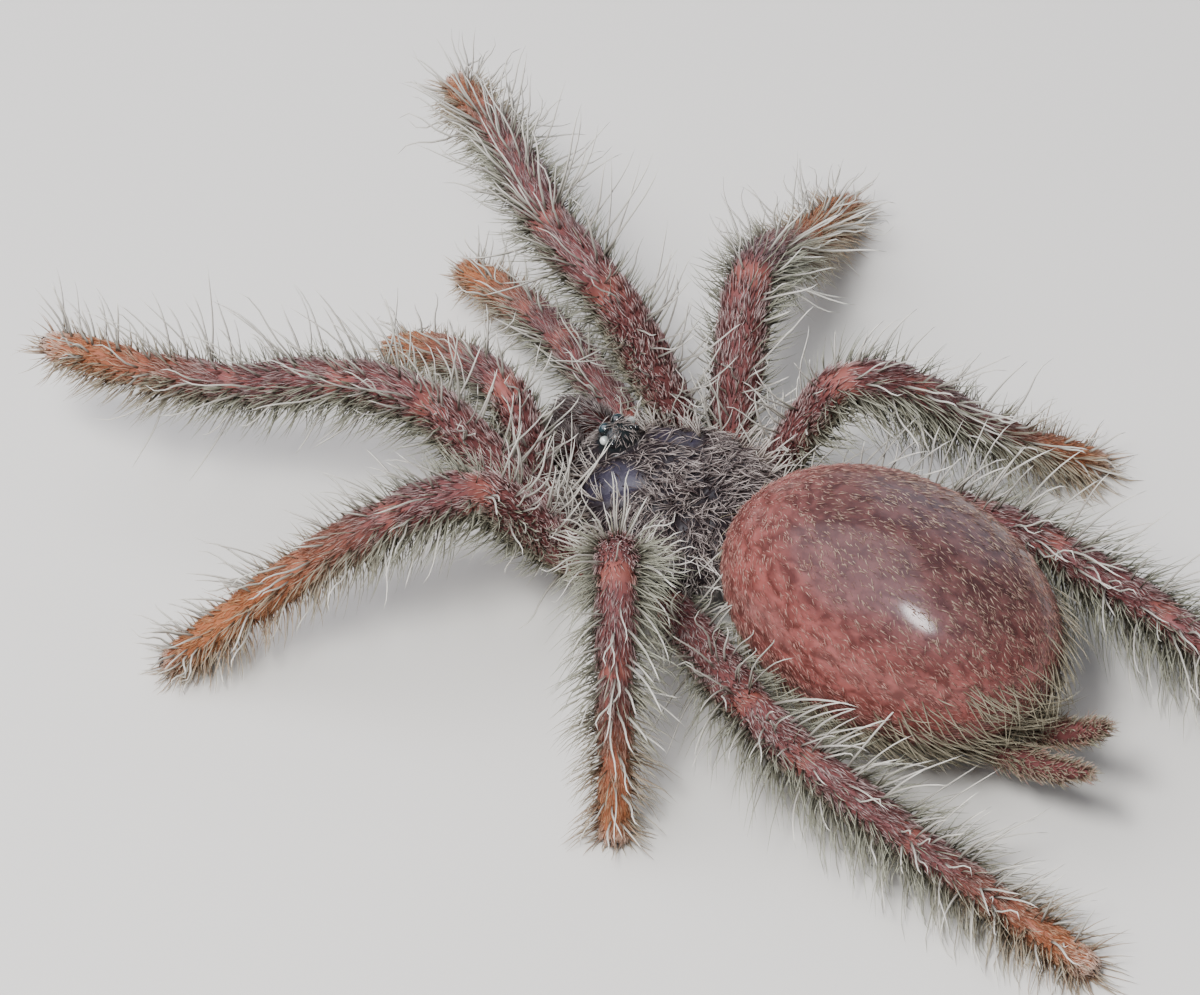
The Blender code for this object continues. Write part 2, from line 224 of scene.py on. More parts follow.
CHEST = ((0, -0.05, 1.42), (1.74, 2.0, 0.30))
WAIST = ((0, -1.2, 1.30), (0, -2.0, 1.42), (0, -2.9, 1.72))
WAIST_RADII = (0.42, 0.40, 0.50)
SPINNERET_BASE = (0.42, -8.6, 1.30)
SPINNERET_STEPS = (0.95, 0.80, 0.75, 0.45)
SPINNERET_RADII = (0.25, 0.27, 0.24, 0.19, 0.08)
SPINNERET_CLIMBS = {"left": (10, 18, 30, 34), "right": (18, 30, 42, 48)}


def unit(vectors):
    return vectors / np.maximum(np.linalg.norm(vectors, axis=-1, keepdims=True), 1e-12)


def limb_corners(kind, side):
    """The joints of a limb, from the breastplate to the middle of its round end."""
    femur_turn, limb_turn, climbs = POSES[kind, side]
    sign = SIDES[side]
    corners = [np.array([sign * left, forward, up]) for left, forward, up in ROOTS[kind]]
    for index, length in enumerate(SEGMENTS[kind]):
        if index < len(climbs):
            climb = math.radians(climbs[index])
        else:
            climb = math.asin((TOE_HEIGHT - corners[-1][2]) / length)
        turns = (femur_turn, (femur_turn + limb_turn) / 2)
        turned = math.radians(turns[index] if index < 2 else limb_turn)
        step = np.array([sign * math.sin(turned) * math.cos(climb),
                         math.cos(turned) * math.cos(climb), math.sin(climb)])
        corners.append(corners[-1] + step * length)
    return [in_frame(*corner) for corner in corners]


class Route:
    """A limb's centreline: point, radius, way on, dorsal side, and place along it."""

    def __init__(self, corners, profile):
        steps = np.diff(corners, axis=0)
        lengths = np.linalg.norm(steps, axis=1)
        ways = steps / lengths[:, None]
        bends = np.degrees(np.arccos(np.clip((ways[1:] * ways[:-1]).sum(axis=1), -1, 1)))
        bent = np.minimum(lengths[1:], lengths[:-1]) * (bends >= STRAIGHT)
        reach = np.array([0, *bent, 0]) * BEND_SHARE
        run = []             # points, each with its segment and its share of that

        def half_bend(joint, low, segment, origin):
            """Half of the rounded corner at a joint, as points of the segment it lies on."""
            room = reach[joint]
            before = corners[joint] - ways[joint - 1] * room
            after = corners[joint] + ways[joint] * room
            for t in np.arange(low, low + 0.5, ROUTE_STEP / (2 * room)):
                point = (1 - t) ** 2 * before + 2 * t * (1 - t) * corners[joint] + t * t * after
                run.append((*point, segment, origin + room * (2 * t - 1) / lengths[segment]))

        for number, (start, way, length) in enumerate(zip(corners, ways, lengths)):
            if reach[number]:
                half_bend(number, 0.5, number, 0)
            first, last = reach[number] / length, 1 - reach[number + 1] / length
            for share in np.arange(first, last, ROUTE_STEP / length):
                run.append((*(start + way * share * length), number, share))
            if reach[number + 1]:
                half_bend(number + 1, 0.0, number, 1)
        run = np.array([*run, (*corners[-1], len(ways) - 1, 1)])
        self.point, segments, share = run[:, :3], run[:, 3].astype(int), np.clip(run[:, 4], 0, 1)
        first, middle, last = np.array(profile)[segments].T
        self.radius = (first * (1 - share) * (1 - 2 * share) + 4 * middle * share * (1 - share)
                       + last * share * (2 * share - 1))
        hops = np.linalg.norm(np.diff(self.point, axis=0), axis=1)
        self.along = np.concatenate([[0.0], np.cumsum(hops)])
        self.length = self.along[-1]
        self.joints = self.along[np.flatnonzero(np.diff(segments)) + 1]
        self.joint = self.near_joint(CREASE_WIDTH)
        self.radius *= 1 - CREASE_DEPTH * self.joint
        self.end_radius = self.radius[-1]
        self.whole = self.length + self.end_radius
        way = np.pad(unit(np.gradient(self.point, axis=0)),
                     ((WAY_WINDOW // 2, WAY_WINDOW // 2), (0, 0)), mode="edge")
        window = np.ones(WAY_WINDOW) / WAY_WINDOW
        self.way = unit(np.stack([np.convolve(part, window, "valid") for part in way.T], axis=1))
        self.dorsal = unit(up_way - self.way * (self.way @ up_way)[:, None])
        self.flank = np.cross(self.way, self.dorsal)

    def near_joint(self, width):
        """1 at the joints beyond the coxa, falling off over this width."""
        gap = np.abs(self.along[:, None] - self.joints[None, 1:]).min(axis=1)
        return np.exp(-(gap / width) ** 2)

    def at(self, distance, values):
        """Values of the route's points, read at these distances along it."""
        if values.ndim == 1:
            return np.interp(distance, self.along, values)
        return np.stack([np.interp(distance, self.along, part) for part in values.T], axis=1)


def select_only(pieces):
    deselect()
    for piece in pieces:
        piece.select_set(True)
    bpy.context.view_layer.objects.active = pieces[0]


def join(pieces, name):
    select_only(pieces)
    bpy.ops.object.join()
    made = bpy.context.object
    made.name = made.data.name = name
    return made


def tube(name, points, radii, roundness=6):
    """A closed mesh tube round these points."""
    curve = bpy.data.curves.new(name, "CURVE")
    curve.dimensions = "3D"
    curve.bevel_depth = 1.0
    curve.bevel_resolution = roundness
    curve.use_fill_caps = True
    spline = curve.splines.new("POLY")
    spline.points.add(len(points) - 1)
    spline.points.foreach_set("co", np.column_stack([points, np.ones(len(points))]).ravel())
    spline.points.foreach_set("radius", np.asarray(radii, float))
    made = bpy.data.objects.new(name, curve)
    bpy.context.collection.objects.link(made)
    select_only([made])
    bpy.ops.object.convert(target="MESH")
    bpy.ops.object.mode_set(mode="EDIT")
    bpy.ops.mesh.select_all(action="SELECT")
    bpy.ops.mesh.remove_doubles(threshold=0.0001)
    bpy.ops.mesh.normals_make_consistent(inside=False)
    bpy.ops.object.mode_set(mode="OBJECT")
    return bpy.context.object


def limb_tube(name, route):
    """The tube round a route, with a half-ball on its end."""
    turns = np.radians(np.arange(10, 90, 10))
    cap = route.point[-1] + np.sin(turns)[:, None] * route.end_radius * route.way[-1]
    return tube(name, np.concatenate([route.point, cap]),
                np.concatenate([route.radius, route.end_radius * np.cos(turns)]))


def ball(name, middle, half, pitch=0.0, segments=48, rings=32):
    """A stretched ball about a point of the frame, its front end pitched up."""
    deselect()
    bpy.ops.mesh.primitive_uv_sphere_add(
        segments=segments, ring_count=rings, radius=1.0, location=middle,
        rotation=(-pitch, 0, 0), scale=half)
    made = bpy.context.object
    made.name = made.data.name = name
    bpy.ops.object.transform_apply(location=True, rotation=True, scale=True)
    return made


def to_metres(made):
    """The piece at its real size, its scale applied and its faces smooth."""
    select_only([made])
    made.scale = (MM,) * 3
    bpy.ops.object.transform_apply(location=True, rotation=True, scale=True)
    bpy.ops.object.shade_smooth()
    return made


def spots(made, kind="co"):
    """The points, or the normals, of a piece's vertices."""
    values = np.empty(len(made.data.vertices) * 3, np.float32)
    made.data.vertices.foreach_get(kind, values)
    return values.reshape(-1, 3).astype(float)


def attribute(mesh, name, values):
    mesh.attributes.new(name, "FLOAT", "POINT").data.foreach_set(
        "value", np.asarray(values, np.float32))


def step_up(values, low, high):
    """0 below low, 1 above high, and a smooth rise between."""
    share = np.clip((values - low) / (high - low), 0, 1)
    return share * share * (3 - 2 * share)


def toe_shade(kind, share):
    """0 on a limb's brown length, 1 on its orange foot."""
    return step_up(share, TOE_COLOUR[kind], TOE_COLOUR[kind] + TOE_BLEND)


routes, spinnerets = {}, {}
bodies = []
for kind, side in POSES:
    profile = np.array(PALP_RADII if kind == "palp" else LEG_RADII) * GIRTH[kind]
    profile[-1, -1] = TOE_RADIUS
    route = routes[f"{kind}_{side}"] = Route(limb_corners(kind, side), profile)
    bodies.append(limb_tube(f"{kind}_{side}_flesh", route))
for side, sign in SIDES.items():
    corners = [np.array(SPINNERET_BASE) * (sign, 1, 1)]
    for length, climb in zip(SPINNERET_STEPS, np.radians(SPINNERET_CLIMBS[side])):
        corners.append(corners[-1] + length * np.array([0.0, -math.cos(climb), math.sin(climb)]))
    profile = [(first, (first + last) / 2, last)
               for first, last in zip(SPINNERET_RADII, SPINNERET_RADII[1:])]
    route = spinnerets[side] = Route([in_frame(*corner) for corner in corners], profile)
    bodies.append(limb_tube(f"spinneret_{side}_flesh", route))
jaw_centres = [np.array(CHELICERA_CENTRE) * (sign, 1, 1) for sign in SIDES.values()]
for centre in jaw_centres:
    bodies.append(ball("jaw_flesh", in_frame(*centre), CHELICERA_HALF, CHELICERA_PITCH))
bodies.append(ball("abdomen_flesh", in_frame(*ABDOMEN_CENTRE), ABDOMEN_HALF, ABDOMEN_PITCH, 96, 64))
for centre, half in (STERNUM, CHEST):
    bodies.append(ball("chest_flesh", in_frame(*centre), half))
bodies.append(tube("waist_flesh", [in_frame(*point) for point in WAIST], WAIST_RADII))
skin = join(bodies, "skin")
fused = skin.modifiers.new("fuse", "REMESH")
fused.mode = "VOXEL"
fused.voxel_size = SKIN_VOXEL
bpy.ops.object.modifier_apply(modifier="fuse")
softened = skin.modifiers.new("soften", "SMOOTH")
softened.factor = 0.5
softened.iterations = SKIN_SMOOTHING
bpy.ops.object.modifier_apply(modifier="soften")


def abdomen_frame(points):
    """Points as left, forward and up of the abdomen, in units of its half sizes."""
    left, back, up = (points - in_frame(*ABDOMEN_CENTRE)).T
    cosine, sine = math.cos(ABDOMEN_PITCH), math.sin(ABDOMEN_PITCH)
    return np.stack([left, -back * cosine + up * sine, back * sine + up * cosine],
                    axis=1) / ABDOMEN_HALF


def upper_back_tone_and_shade(units):
    """1 on the darker upper back of the abdomen, most toward its rear, partly its own darker brown
    and partly painted shade; 0 on its flanks and belly.
    """
    return step_up(units[:, 2] - 0.35 * units[:, 1], 0.30, 0.98)


# Where each point of the skin lies: along which limb, how near a joint and a toe.
places = spots(skin)
centreline = np.concatenate([route.point for route in routes.values()])
tree = kdtree.KDTree(len(centreline))
for number, point in enumerate(centreline):
    tree.insert(point, number)
tree.balance()
nearest = np.array([tree.find(point)[1:] for point in places])
index = nearest[:, 0].astype(int)
girths = np.concatenate([route.radius for route in routes.values()])
toes = np.concatenate([toe_shade(name.rsplit("_", 1)[0], route.along / route.whole)
                       for name, route in routes.items()])
joints = np.concatenate([route.near_joint(RED_WIDTH) for route in routes.values()])
on_limb = 1 - step_up(nearest[:, 1] - girths[index], 0.05, 0.20)
in_belly = abdomen_frame(places)
on_belly = 1 - step_up(np.abs(np.linalg.norm(in_belly, axis=1) - 1), 0.01, 0.05)
jaw_reach = np.min([np.linalg.norm((places - in_frame(*centre)) / JAW_REACH, axis=1)
                    for centre in jaw_centres], axis=0)
attribute(skin.data, "toe", toes[index] * on_limb)
attribute(skin.data, "joint", joints[index] * on_limb)
attribute(skin.data, "belly", on_belly)
# back: the darker upper back, partly its own colour and partly painted shade.
attribute(skin.data, "back", upper_back_tone_and_shade(in_belly) * on_belly)
attribute(skin.data, "jaw", (1 - step_up(jaw_reach, 0.9, 1.2)) * (1 - on_limb))
skin = to_metres(skin)


def blend_colours(tree, share, first, second):
    """Mixes two colours, each a hex code or a socket, by a socket between 0 and 1."""
    made = node(tree, "ShaderNodeMix", data_type="RGBA")
    for socket, value in ((6, first), (7, second)):
        if isinstance(value, str):
            made.inputs[socket].default_value = linear(value)
        else:
            tree.links.new(value, made.inputs[socket])
    tree.links.new(share, made.inputs[0])
    return made.outputs[2]


def layered(tree, colour, *layers):
    """A colour under others, each laid over it by its own share."""
    for share, over in layers:
        colour = blend_colours(tree, share, colour, over)
    return colour


# Soft cuticle, thin and unpigmented but for its red-brown: satin, a little translucent,
# with a rosy sheen from the finest hairs on it. Its mottle is 0.4 mm across, its grain 0.1.
cuticle, web, shader = fresh_material(
    "soft_red_brown_cuticle", Roughness=0.46, IOR=1.5, Specular_IOR_Level=0.28,
    Specular_Tint=linear("#f3b9c4"), Subsurface_Weight=0.08, Subsurface_Scale=0.0004,
    Coat_Roughness=0.16)
at = node(web, "ShaderNodeTexCoord").outputs["Object"]
mottle = node(web, "ShaderNodeTexNoise", [("Vector", at)], _Scale=2600.0, _Detail=5.0)
fine = node(web, "ShaderNodeTexNoise", [("Vector", at)], _Scale=9000.0, _Detail=3.0)
toe, joint, belly, jaw, back = (
    node(web, "ShaderNodeAttribute", attribute_name=name).outputs["Fac"]
    for name in ("toe", "joint", "belly", "jaw", "back"))
# Dapples 0.2 to 0.4 mm across, drawn out along the abdomen.
drawn_out = node(web, "ShaderNodeMapping", [("Vector", at)], _Scale=(1.0, 0.5, 1.0))
dapple = node(web, "ShaderNodeTexNoise", [("Vector", drawn_out.outputs["Vector"])],
              _Scale=4200.0, _Detail=2.0, _Distortion=0.6)
dapple = node(web, "ShaderNodeMapRange", [("Value", dapple.outputs["Fac"])],
              _From_Min=0.36, _From_Max=0.64).outputs["Result"]
leg_brown = blend_colours(web, mottle.outputs["Fac"], "#502f2f", "#7a4a48")
belly_red = blend_colours(web, dapple, "#5a2f2a", "#8d514c")
# The upper back's darker brown is partly the skin's own colour and partly painted shade.
darker_back_and_shade_colour = blend_colours(web, dapple, "#3a2423", "#593b38")
flesh = layered(web, leg_brown, (joint, "#89524a"), (toe, "#9a5f3f"),
                (belly, layered(web, belly_red, (back, darker_back_and_shade_colour))), (jaw, "#2c1512"))
web.links.new(flesh, shader.inputs["Base Color"])
# Only the stretched skin of the abdomen is wet-looking.
gloss = node(web, "ShaderNodeMath", [(0, belly)], operation="MULTIPLY")
gloss.inputs[1].default_value = 0.38
web.links.new(gloss.outputs[0], shader.inputs["Coat Weight"])
grain = node(web, "ShaderNodeBump", [("Height", fine.outputs["Fac"])],
             _Strength=0.25, _Distance=0.00004)
web.links.new(grain.outputs["Normal"], shader.inputs["Normal"])
skin.data.materials.clear()
skin.data.materials.append(cuticle)
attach(skin, "root")
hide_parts(*routes, "abdomen", "sternum", "pedicel", "chelicera_left",
            "chelicera_right", "spinneret_left", "spinneret_right")

# ---------------------------------------------------------------------------
# Shell. One hard dark plate covers the head and chest: a low shield with a rolled
# rim, a pit in the middle where the stomach's muscle holds, furrows that run from
# it between the legs, and a steep little mound in front that carries the eyes.
# ---------------------------------------------------------------------------
SHELL_HALF = (2.0, 2.225)
SHELL_RIM = 1.65
SHELL_RISE = 1.1
SHELL_LIP = 0.10
SHELL_BLUNTNESS = 2.5
SHELL_TAPER = (0.20, 0.10)     # of its width, toward the front, at first and growing
SHELL_FALL = (-0.06, 0.16)     # of its rise, toward the front and toward both ends
COAT_ROOM = 0.05         # the shell lies this much inside its solid, under its hair
PIT = (0.0, -0.75)       # left and forward
PIT_HALF = (0.30, 0.12)
PIT_DEPTH = 0.16
FURROWS = (38, 72, 104, 140)   # degrees from straight ahead, seen from the pit
FURROW_DEPTH = 0.055
FURROW_WIDTH = 0.13
MOUND_CENTRE = (0.0, 1.55, 2.50)
MOUND_HALF = (0.45, 0.36, 0.41)
MOUND_SHOULDER = 0.8     # from here out the mound slopes straight down to the shell
MOUND_SLOPE = (0.95, 0.55)     # there, on its sides and in front
MOUND_BLEND = 0.06
CHEEK = (0.92, 0.86)     # the bare, smooth cheeks, between the eyes and the first legs
CHEEK_HALF = (0.48, 0.62)


def shell_width(along):
    """Half the shell's width, widest behind its middle, before its ends are blunted."""
    return SHELL_HALF[0] * (1 - SHELL_TAPER[0] * along - SHELL_TAPER[1] * along ** 2)


def blunted(along):
    """How much wider than an ellipse the shell is, toward its ends."""
    blunt = (1 - np.abs(along) ** SHELL_BLUNTNESS) ** (1 / SHELL_BLUNTNESS)
    return blunt / np.sqrt(1 - along ** 2)


def shell_height(left, forward):
    """The height of the shell's top over a point, without its mound."""
    along = np.clip(forward / SHELL_HALF[1], -0.999, 0.999)
    rise = SHELL_RISE * (1 - SHELL_FALL[0] * along - SHELL_FALL[1] * along ** 2) - COAT_ROOM
    across = left / (shell_width(along) * blunted(along))
    dome = np.sqrt(np.clip(1 - along ** 2 - across ** 2, 0, 1))
    ahead, aside = forward - PIT[1], np.abs(left - PIT[0])
    reach = np.hypot(ahead, aside)
    bearing = np.degrees(np.arctan2(aside, ahead))
    off = np.radians([bearing - angle for angle in FURROWS]) * reach
    furrow = np.exp(-(off / FURROW_WIDTH) ** 2).max(axis=0)
    fade = step_up(reach, 0.15, 0.5) * step_up(dome, 0.18, 0.5)
    pit = np.exp(-((left - PIT[0]) / PIT_HALF[0]) ** 2 - (ahead / PIT_HALF[1]) ** 2)
    return SHELL_RIM + rise * dome - FURROW_DEPTH * furrow * fade - PIT_DEPTH * pit


def mound_reach(left, forward):
    """How far from the middle of the eye mound a point lies, 1 at its edge."""
    return np.hypot((left - MOUND_CENTRE[0]) / MOUND_HALF[0],
                    (forward - MOUND_CENTRE[1]) / MOUND_HALF[1])


def head_height(left, forward):
    """The shell and its mound, whose sides slope down to it, smoothly joined."""
    reach = mound_reach(left, forward)
    cap = np.sqrt(1 - np.minimum(reach, MOUND_SHOULDER) ** 2)
    ahead = step_up(forward - MOUND_CENTRE[1], 0.0, 0.3)
    slope = MOUND_SLOPE[0] + (MOUND_SLOPE[1] - MOUND_SLOPE[0]) * ahead
    high = MOUND_CENTRE[2] + MOUND_HALF[2] * cap - slope * np.maximum(reach - MOUND_SHOULDER, 0)
    low = shell_height(left, forward)
    gap = np.clip(0.5 + (high - low) / (2 * MOUND_BLEND), 0, 1)
    return low * (1 - gap) + high * gap + MOUND_BLEND * gap * (1 - gap)


def cheek(left, forward):
    """1 on the bare cheeks, 0 off them."""
    reach = np.hypot((np.abs(left) - CHEEK[0]) / CHEEK_HALF[0], (forward - CHEEK[1]) / CHEEK_HALF[1])
    return 1 - step_up(reach, 0.75, 1.15)


shell = ball("shell", (0, 0, 0), (1, 1, 1), segments=200, rings=150)
across, along, above = (spots(shell) * (1, -1, 1)).T
along = np.clip(along, -0.9995, 0.9995)
left, forward = across * shell_width(along) * blunted(along), along * SHELL_HALF[1]
room = 1 - COAT_ROOM / SHELL_HALF[1]
up = np.where(above > 0, head_height(left, forward), SHELL_RIM + above * SHELL_LIP)
corners = np.stack([MIDDLE[0] + left * room, MIDDLE[1] - forward * room, up], axis=1)
shell.data.vertices.foreach_set("co", corners.astype(np.float32).ravel())
shell.data.update()
attribute(shell.data, "mound", 1 - step_up(mound_reach(left * room, forward * room), 0.95, 1.2))
attribute(shell.data, "cheek", cheek(left * room, forward * room))
shell = to_metres(shell)
# Hardened cuticle, near black with pigment and half polished. The bare cheeks are painted bluer, a
# painted blue-violet reflection of the sky.
# Its mottle is 0.4 mm across and its grain, the sockets of the hairs, under 0.1 mm.
plate, web, shader = fresh_material(
    "dark_hardened_cuticle", Roughness=0.36, IOR=1.55, Specular_IOR_Level=0.4,
    Coat_Weight=0.15, Coat_Roughness=0.2)
at = node(web, "ShaderNodeTexCoord").outputs["Object"]
mottle = node(web, "ShaderNodeTexNoise", [("Vector", at)], _Scale=2600.0, _Detail=5.0).outputs["Fac"]
fine = node(web, "ShaderNodeTexNoise", [("Vector", at)], _Scale=12000.0, _Detail=2.0)
mound, bare = (node(web, "ShaderNodeAttribute", attribute_name=name).outputs["Fac"]
               for name in ("mound", "cheek"))
umber = blend_colours(web, mottle, "#120f13", "#2b2226")
# Painted reflection: the bare cheeks' blue-violet stands in for the sky mirrored in their smooth
# cuticle.
cheek_painted_sky_reflection = blend_colours(web, mottle, "#1b1824", "#3b3647")
web.links.new(layered(web, umber, (bare, cheek_painted_sky_reflection), (mound, "#10181a")), shader.inputs["Base Color"])
grain = node(web, "ShaderNodeBump", [("Height", fine.outputs["Fac"])],
             _Strength=0.3, _Distance=0.00003)
web.links.new(grain.outputs["Normal"], shader.inputs["Normal"])
shell.data.materials.append(plate)
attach(shell, "root")
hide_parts("carapace")

# ---------------------------------------------------------------------------
# Eyes. Eight clear domed lenses in the mound, each one polished bead: the two large
# ones in front are dark teal, the two beside them pearly, the four behind near black.
# ---------------------------------------------------------------------------
LENS_COLOURS = {"dark": ("#11181b", "#030507"), "teal": ("#0b1315", "#20363d"),
                "pearly": ("#8d938f", "#d5d9d4")}      # rim and crown
EYES = {"median_front": "teal", "side_front": "pearly", "side_rear": "dark",
        "median_rear": "dark"}
lenses = {}
for colour, (lens_rim, lens_crown) in LENS_COLOURS.items():
    # Clear chitin over a cup of pigment: glossy, and deepest in colour at the crown.
    lenses[colour], web, shader = fresh_material(
        f"{colour}_eye_lens", Roughness=0.07, IOR=1.5, Coat_Weight=1.0, Coat_Roughness=0.02)
    crown = node(web, "ShaderNodeAttribute", attribute_name="crown").outputs["Fac"]
    web.links.new(blend_colours(web, crown, lens_rim, lens_crown), shader.inputs["Base Color"])
for place, colour in EYES.items():
    for side in SIDES:
        low, high = (np.array(corner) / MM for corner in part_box(f"eye_{place}_{side}"))
        middle, radius = (low + high) / 2, (high[0] - low[0]) / 2
        eye = ball(f"lens_{place}_{side}", middle, (radius,) * 3, segments=32, rings=20)
        outward = unit(middle - in_frame(*MOUND_CENTRE))
        attribute(eye.data, "crown", step_up(unit(spots(eye) - middle) @ outward, 0.45, 0.95))
        eye = to_metres(eye)
        eye.data.materials.append(lenses[colour])
        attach(eye, "root")
        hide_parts(f"eye_{place}_{side}")

# ---------------------------------------------------------------------------
# Fangs and claws. Both are solid black horn, hard and polished: a curved fang
# folds back under each jaw, and every foot ends in two small hooked claws.
# ---------------------------------------------------------------------------
FANG_POINTS = ((3.52, 1.10), (3.42, 0.86), (3.15, 0.68), (2.80, 0.62), (2.50, 0.68))
FANG_RADII = (0.15, 0.14, 0.11, 0.075, 0.02)
FANG_ASIDE = 0.45
CLAW_LENGTH = 0.15
CLAW_RADIUS = 0.028
CLAW_TIP = 0.006
CLAW_DIP = -0.12         # the steepest that a claw points down: it bends along the board
CLAW_ROOT = (0.05, 0.06, 0.07)   # in from the toe's end, up and aside
CLAW_HOOK = ((0, 0), (0.5, 0.03), (0.9, -0.03), (1, -0.10))   # share of its length, and rise


def smooth_run(points, steps):
    """More points along the same bend, by Catmull and Rom's rule."""
    points = np.asarray(points, float)
    padded = np.concatenate([2 * points[:1] - points[1:2], points, 2 * points[-1:] - points[-2:-1]])
    run = []
    for number in range(len(points) - 1):
        a, b, c, d = padded[number:number + 4]
        for t in np.linspace(0, 1, steps, endpoint=False):
            run.append(((2 * b) + (c - a) * t + (2 * a - 5 * b + 4 * c - d) * t ** 2
                        + (3 * b - a - 3 * c + d) * t ** 3) / 2)
    return np.array([*run, points[-1]])


# Thick chitin, polished black with a red-brown glow in streaks 0.1 to 0.2 mm wide.
horn, web, shader = fresh_material("black_horn", Roughness=0.16, IOR=1.54)
at = node(web, "ShaderNodeTexCoord").outputs["Object"]
streak = node(web, "ShaderNodeTexNoise", [("Vector", at)], _Scale=7000.0, _Detail=2.0)
web.links.new(blend_colours(web, streak.outputs["Fac"], "#060303", "#2b1613"),
              shader.inputs["Base Color"])
for side, sign in SIDES.items():
    hook = smooth_run([(*in_frame(sign * FANG_ASIDE, ahead, up), radius)
                       for (ahead, up), radius in zip(FANG_POINTS, FANG_RADII)], 6)
    fang = to_metres(tube(f"fang_horn_{side}", hook[:, :3], hook[:, 3]))
    fang.data.materials.append(horn)
    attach(fang, "root")
    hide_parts(f"fang_{side}")
claws = []
for route in routes.values():
    way, flank = route.way[-1].copy(), route.flank[-1]
    way[2] = max(way[2], CLAW_DIP)
    way = unit(way)
    over = np.cross(flank, way)
    for aside in (-1, 1):
        base = (route.point[-1] + way * (TOE_RADIUS - CLAW_ROOT[0]) + over * CLAW_ROOT[1]
                + flank * aside * CLAW_ROOT[2])
        hook = smooth_run([base + way * CLAW_LENGTH * share + over * rise
                           for share, rise in CLAW_HOOK], 3)
        claws.append(tube("claw", hook, np.linspace(CLAW_RADIUS, CLAW_TIP, len(hook)), 2))
claws = to_metres(join(claws, "foot_claws"))
claws.data.materials.append(horn)
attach(claws, "root")

# ---------------------------------------------------------------------------
# Limb coats. Three lengths of hair stand on every leg and palp: a close nap that
# lies along it, a pale fringe down its sides and belly, and a few long bristles.
# Each hair is a closed, tapering three-sided spike set in the skin.
# ---------------------------------------------------------------------------
BAKE_PATCH = 0.003       # of a coat's map, for each hair
HAIR_TAPER = 0.65
BRISTLE_TAPER = 0.4      # bristles keep their thickness almost to the tip
ROOT_DEPTH = 0.035
FLOOR_ROOM = 0.10        # hairs lower than this bend along the board
HAIR_ROOM = 0.03
NAP_PER_MM2 = 300
NAP_LENGTH = (0.24, 0.42)
NAP_WIDTH = (0.024, 0.038)
FRINGE_PER_MM2 = 92
FRINGE_LENGTH = {"leg_1": (0.45, 1.20), "leg_2": (0.50, 1.45), "leg_3": (0.55, 1.75),
                 "leg_4": (0.60, 1.95), "palp": (0.40, 0.95)}
FRINGE_WIDTH = (0.026, 0.042)
# Bristles to a millimetre of limb, and the length of the longest.
BRISTLES = {"leg_1": (12, 2.3), "leg_2": (10, 1.8), "leg_3": (8, 1.7), "leg_4": (11, 2.2),
            "palp": (8, 1.4)}
BRISTLE_WIDTH = (0.046, 0.066)
# Degrees that each kind of hair stands off the skin at its root.
NAP_LIFT = (12, 34)
FRINGE_LIFT = (46, 84)
BRISTLE_LIFT = (50, 90)
GIRTH_UNIT = 0.45        # a limb's mean radius, which lays its girth out beside its length
TUFT_CELLS = 4093


class Draws:
    """Seeded random numbers for a set of hairs, one for each hair of the set."""

    def __init__(self, seed):
        self.chance = np.random.default_rng(seed)
        self.amount = 0

    def between(self, low, high):
        return self.chance.uniform(low, high, self.amount)

    def about(self, spread):
        return self.chance.normal(0, spread, self.amount)

    def share(self):
        return self.chance.random(self.amount)

    def beta(self, first, second):
        return self.chance.beta(first, second, self.amount)

    def size(self, lengths, widths, share=1.0):
        """A length and a width, each between two, the length cut to a share of itself."""
        return self.between(*lengths) * share, self.between(*widths)

    def jitter(self, spread):
        return self.chance.normal(0, spread, (self.amount, 3))

    def directions(self):
        return unit(self.chance.normal(size=(self.amount, 3)))

    def kept(self, keep, *values, most=None):
        """These values for the hairs that are kept, which are at most so many."""
        chosen = np.flatnonzero(keep)[:most]
        self.amount = len(chosen)
        return [value[chosen] for value in values]

    def tufts(self, first, second, size):
        """One number for each cell of the skin, so that neighbouring hairs lean together."""
        cell = np.floor(first / size) * 61 + np.floor(second / size)
        return self.chance.normal(size=TUFT_CELLS)[cell.astype(int) % TUFT_CELLS]


def lean(outward, onward, lift, sway):
    """A direction along the skin, lifted off it and turned aside, both in degrees."""
    lift, sway = np.radians(lift)[:, None], np.radians(sway)[:, None]
    aside = np.cross(onward, outward)
    return (onward * np.cos(sway) + aside * np.sin(sway)) * np.cos(lift) + outward * np.sin(lift)


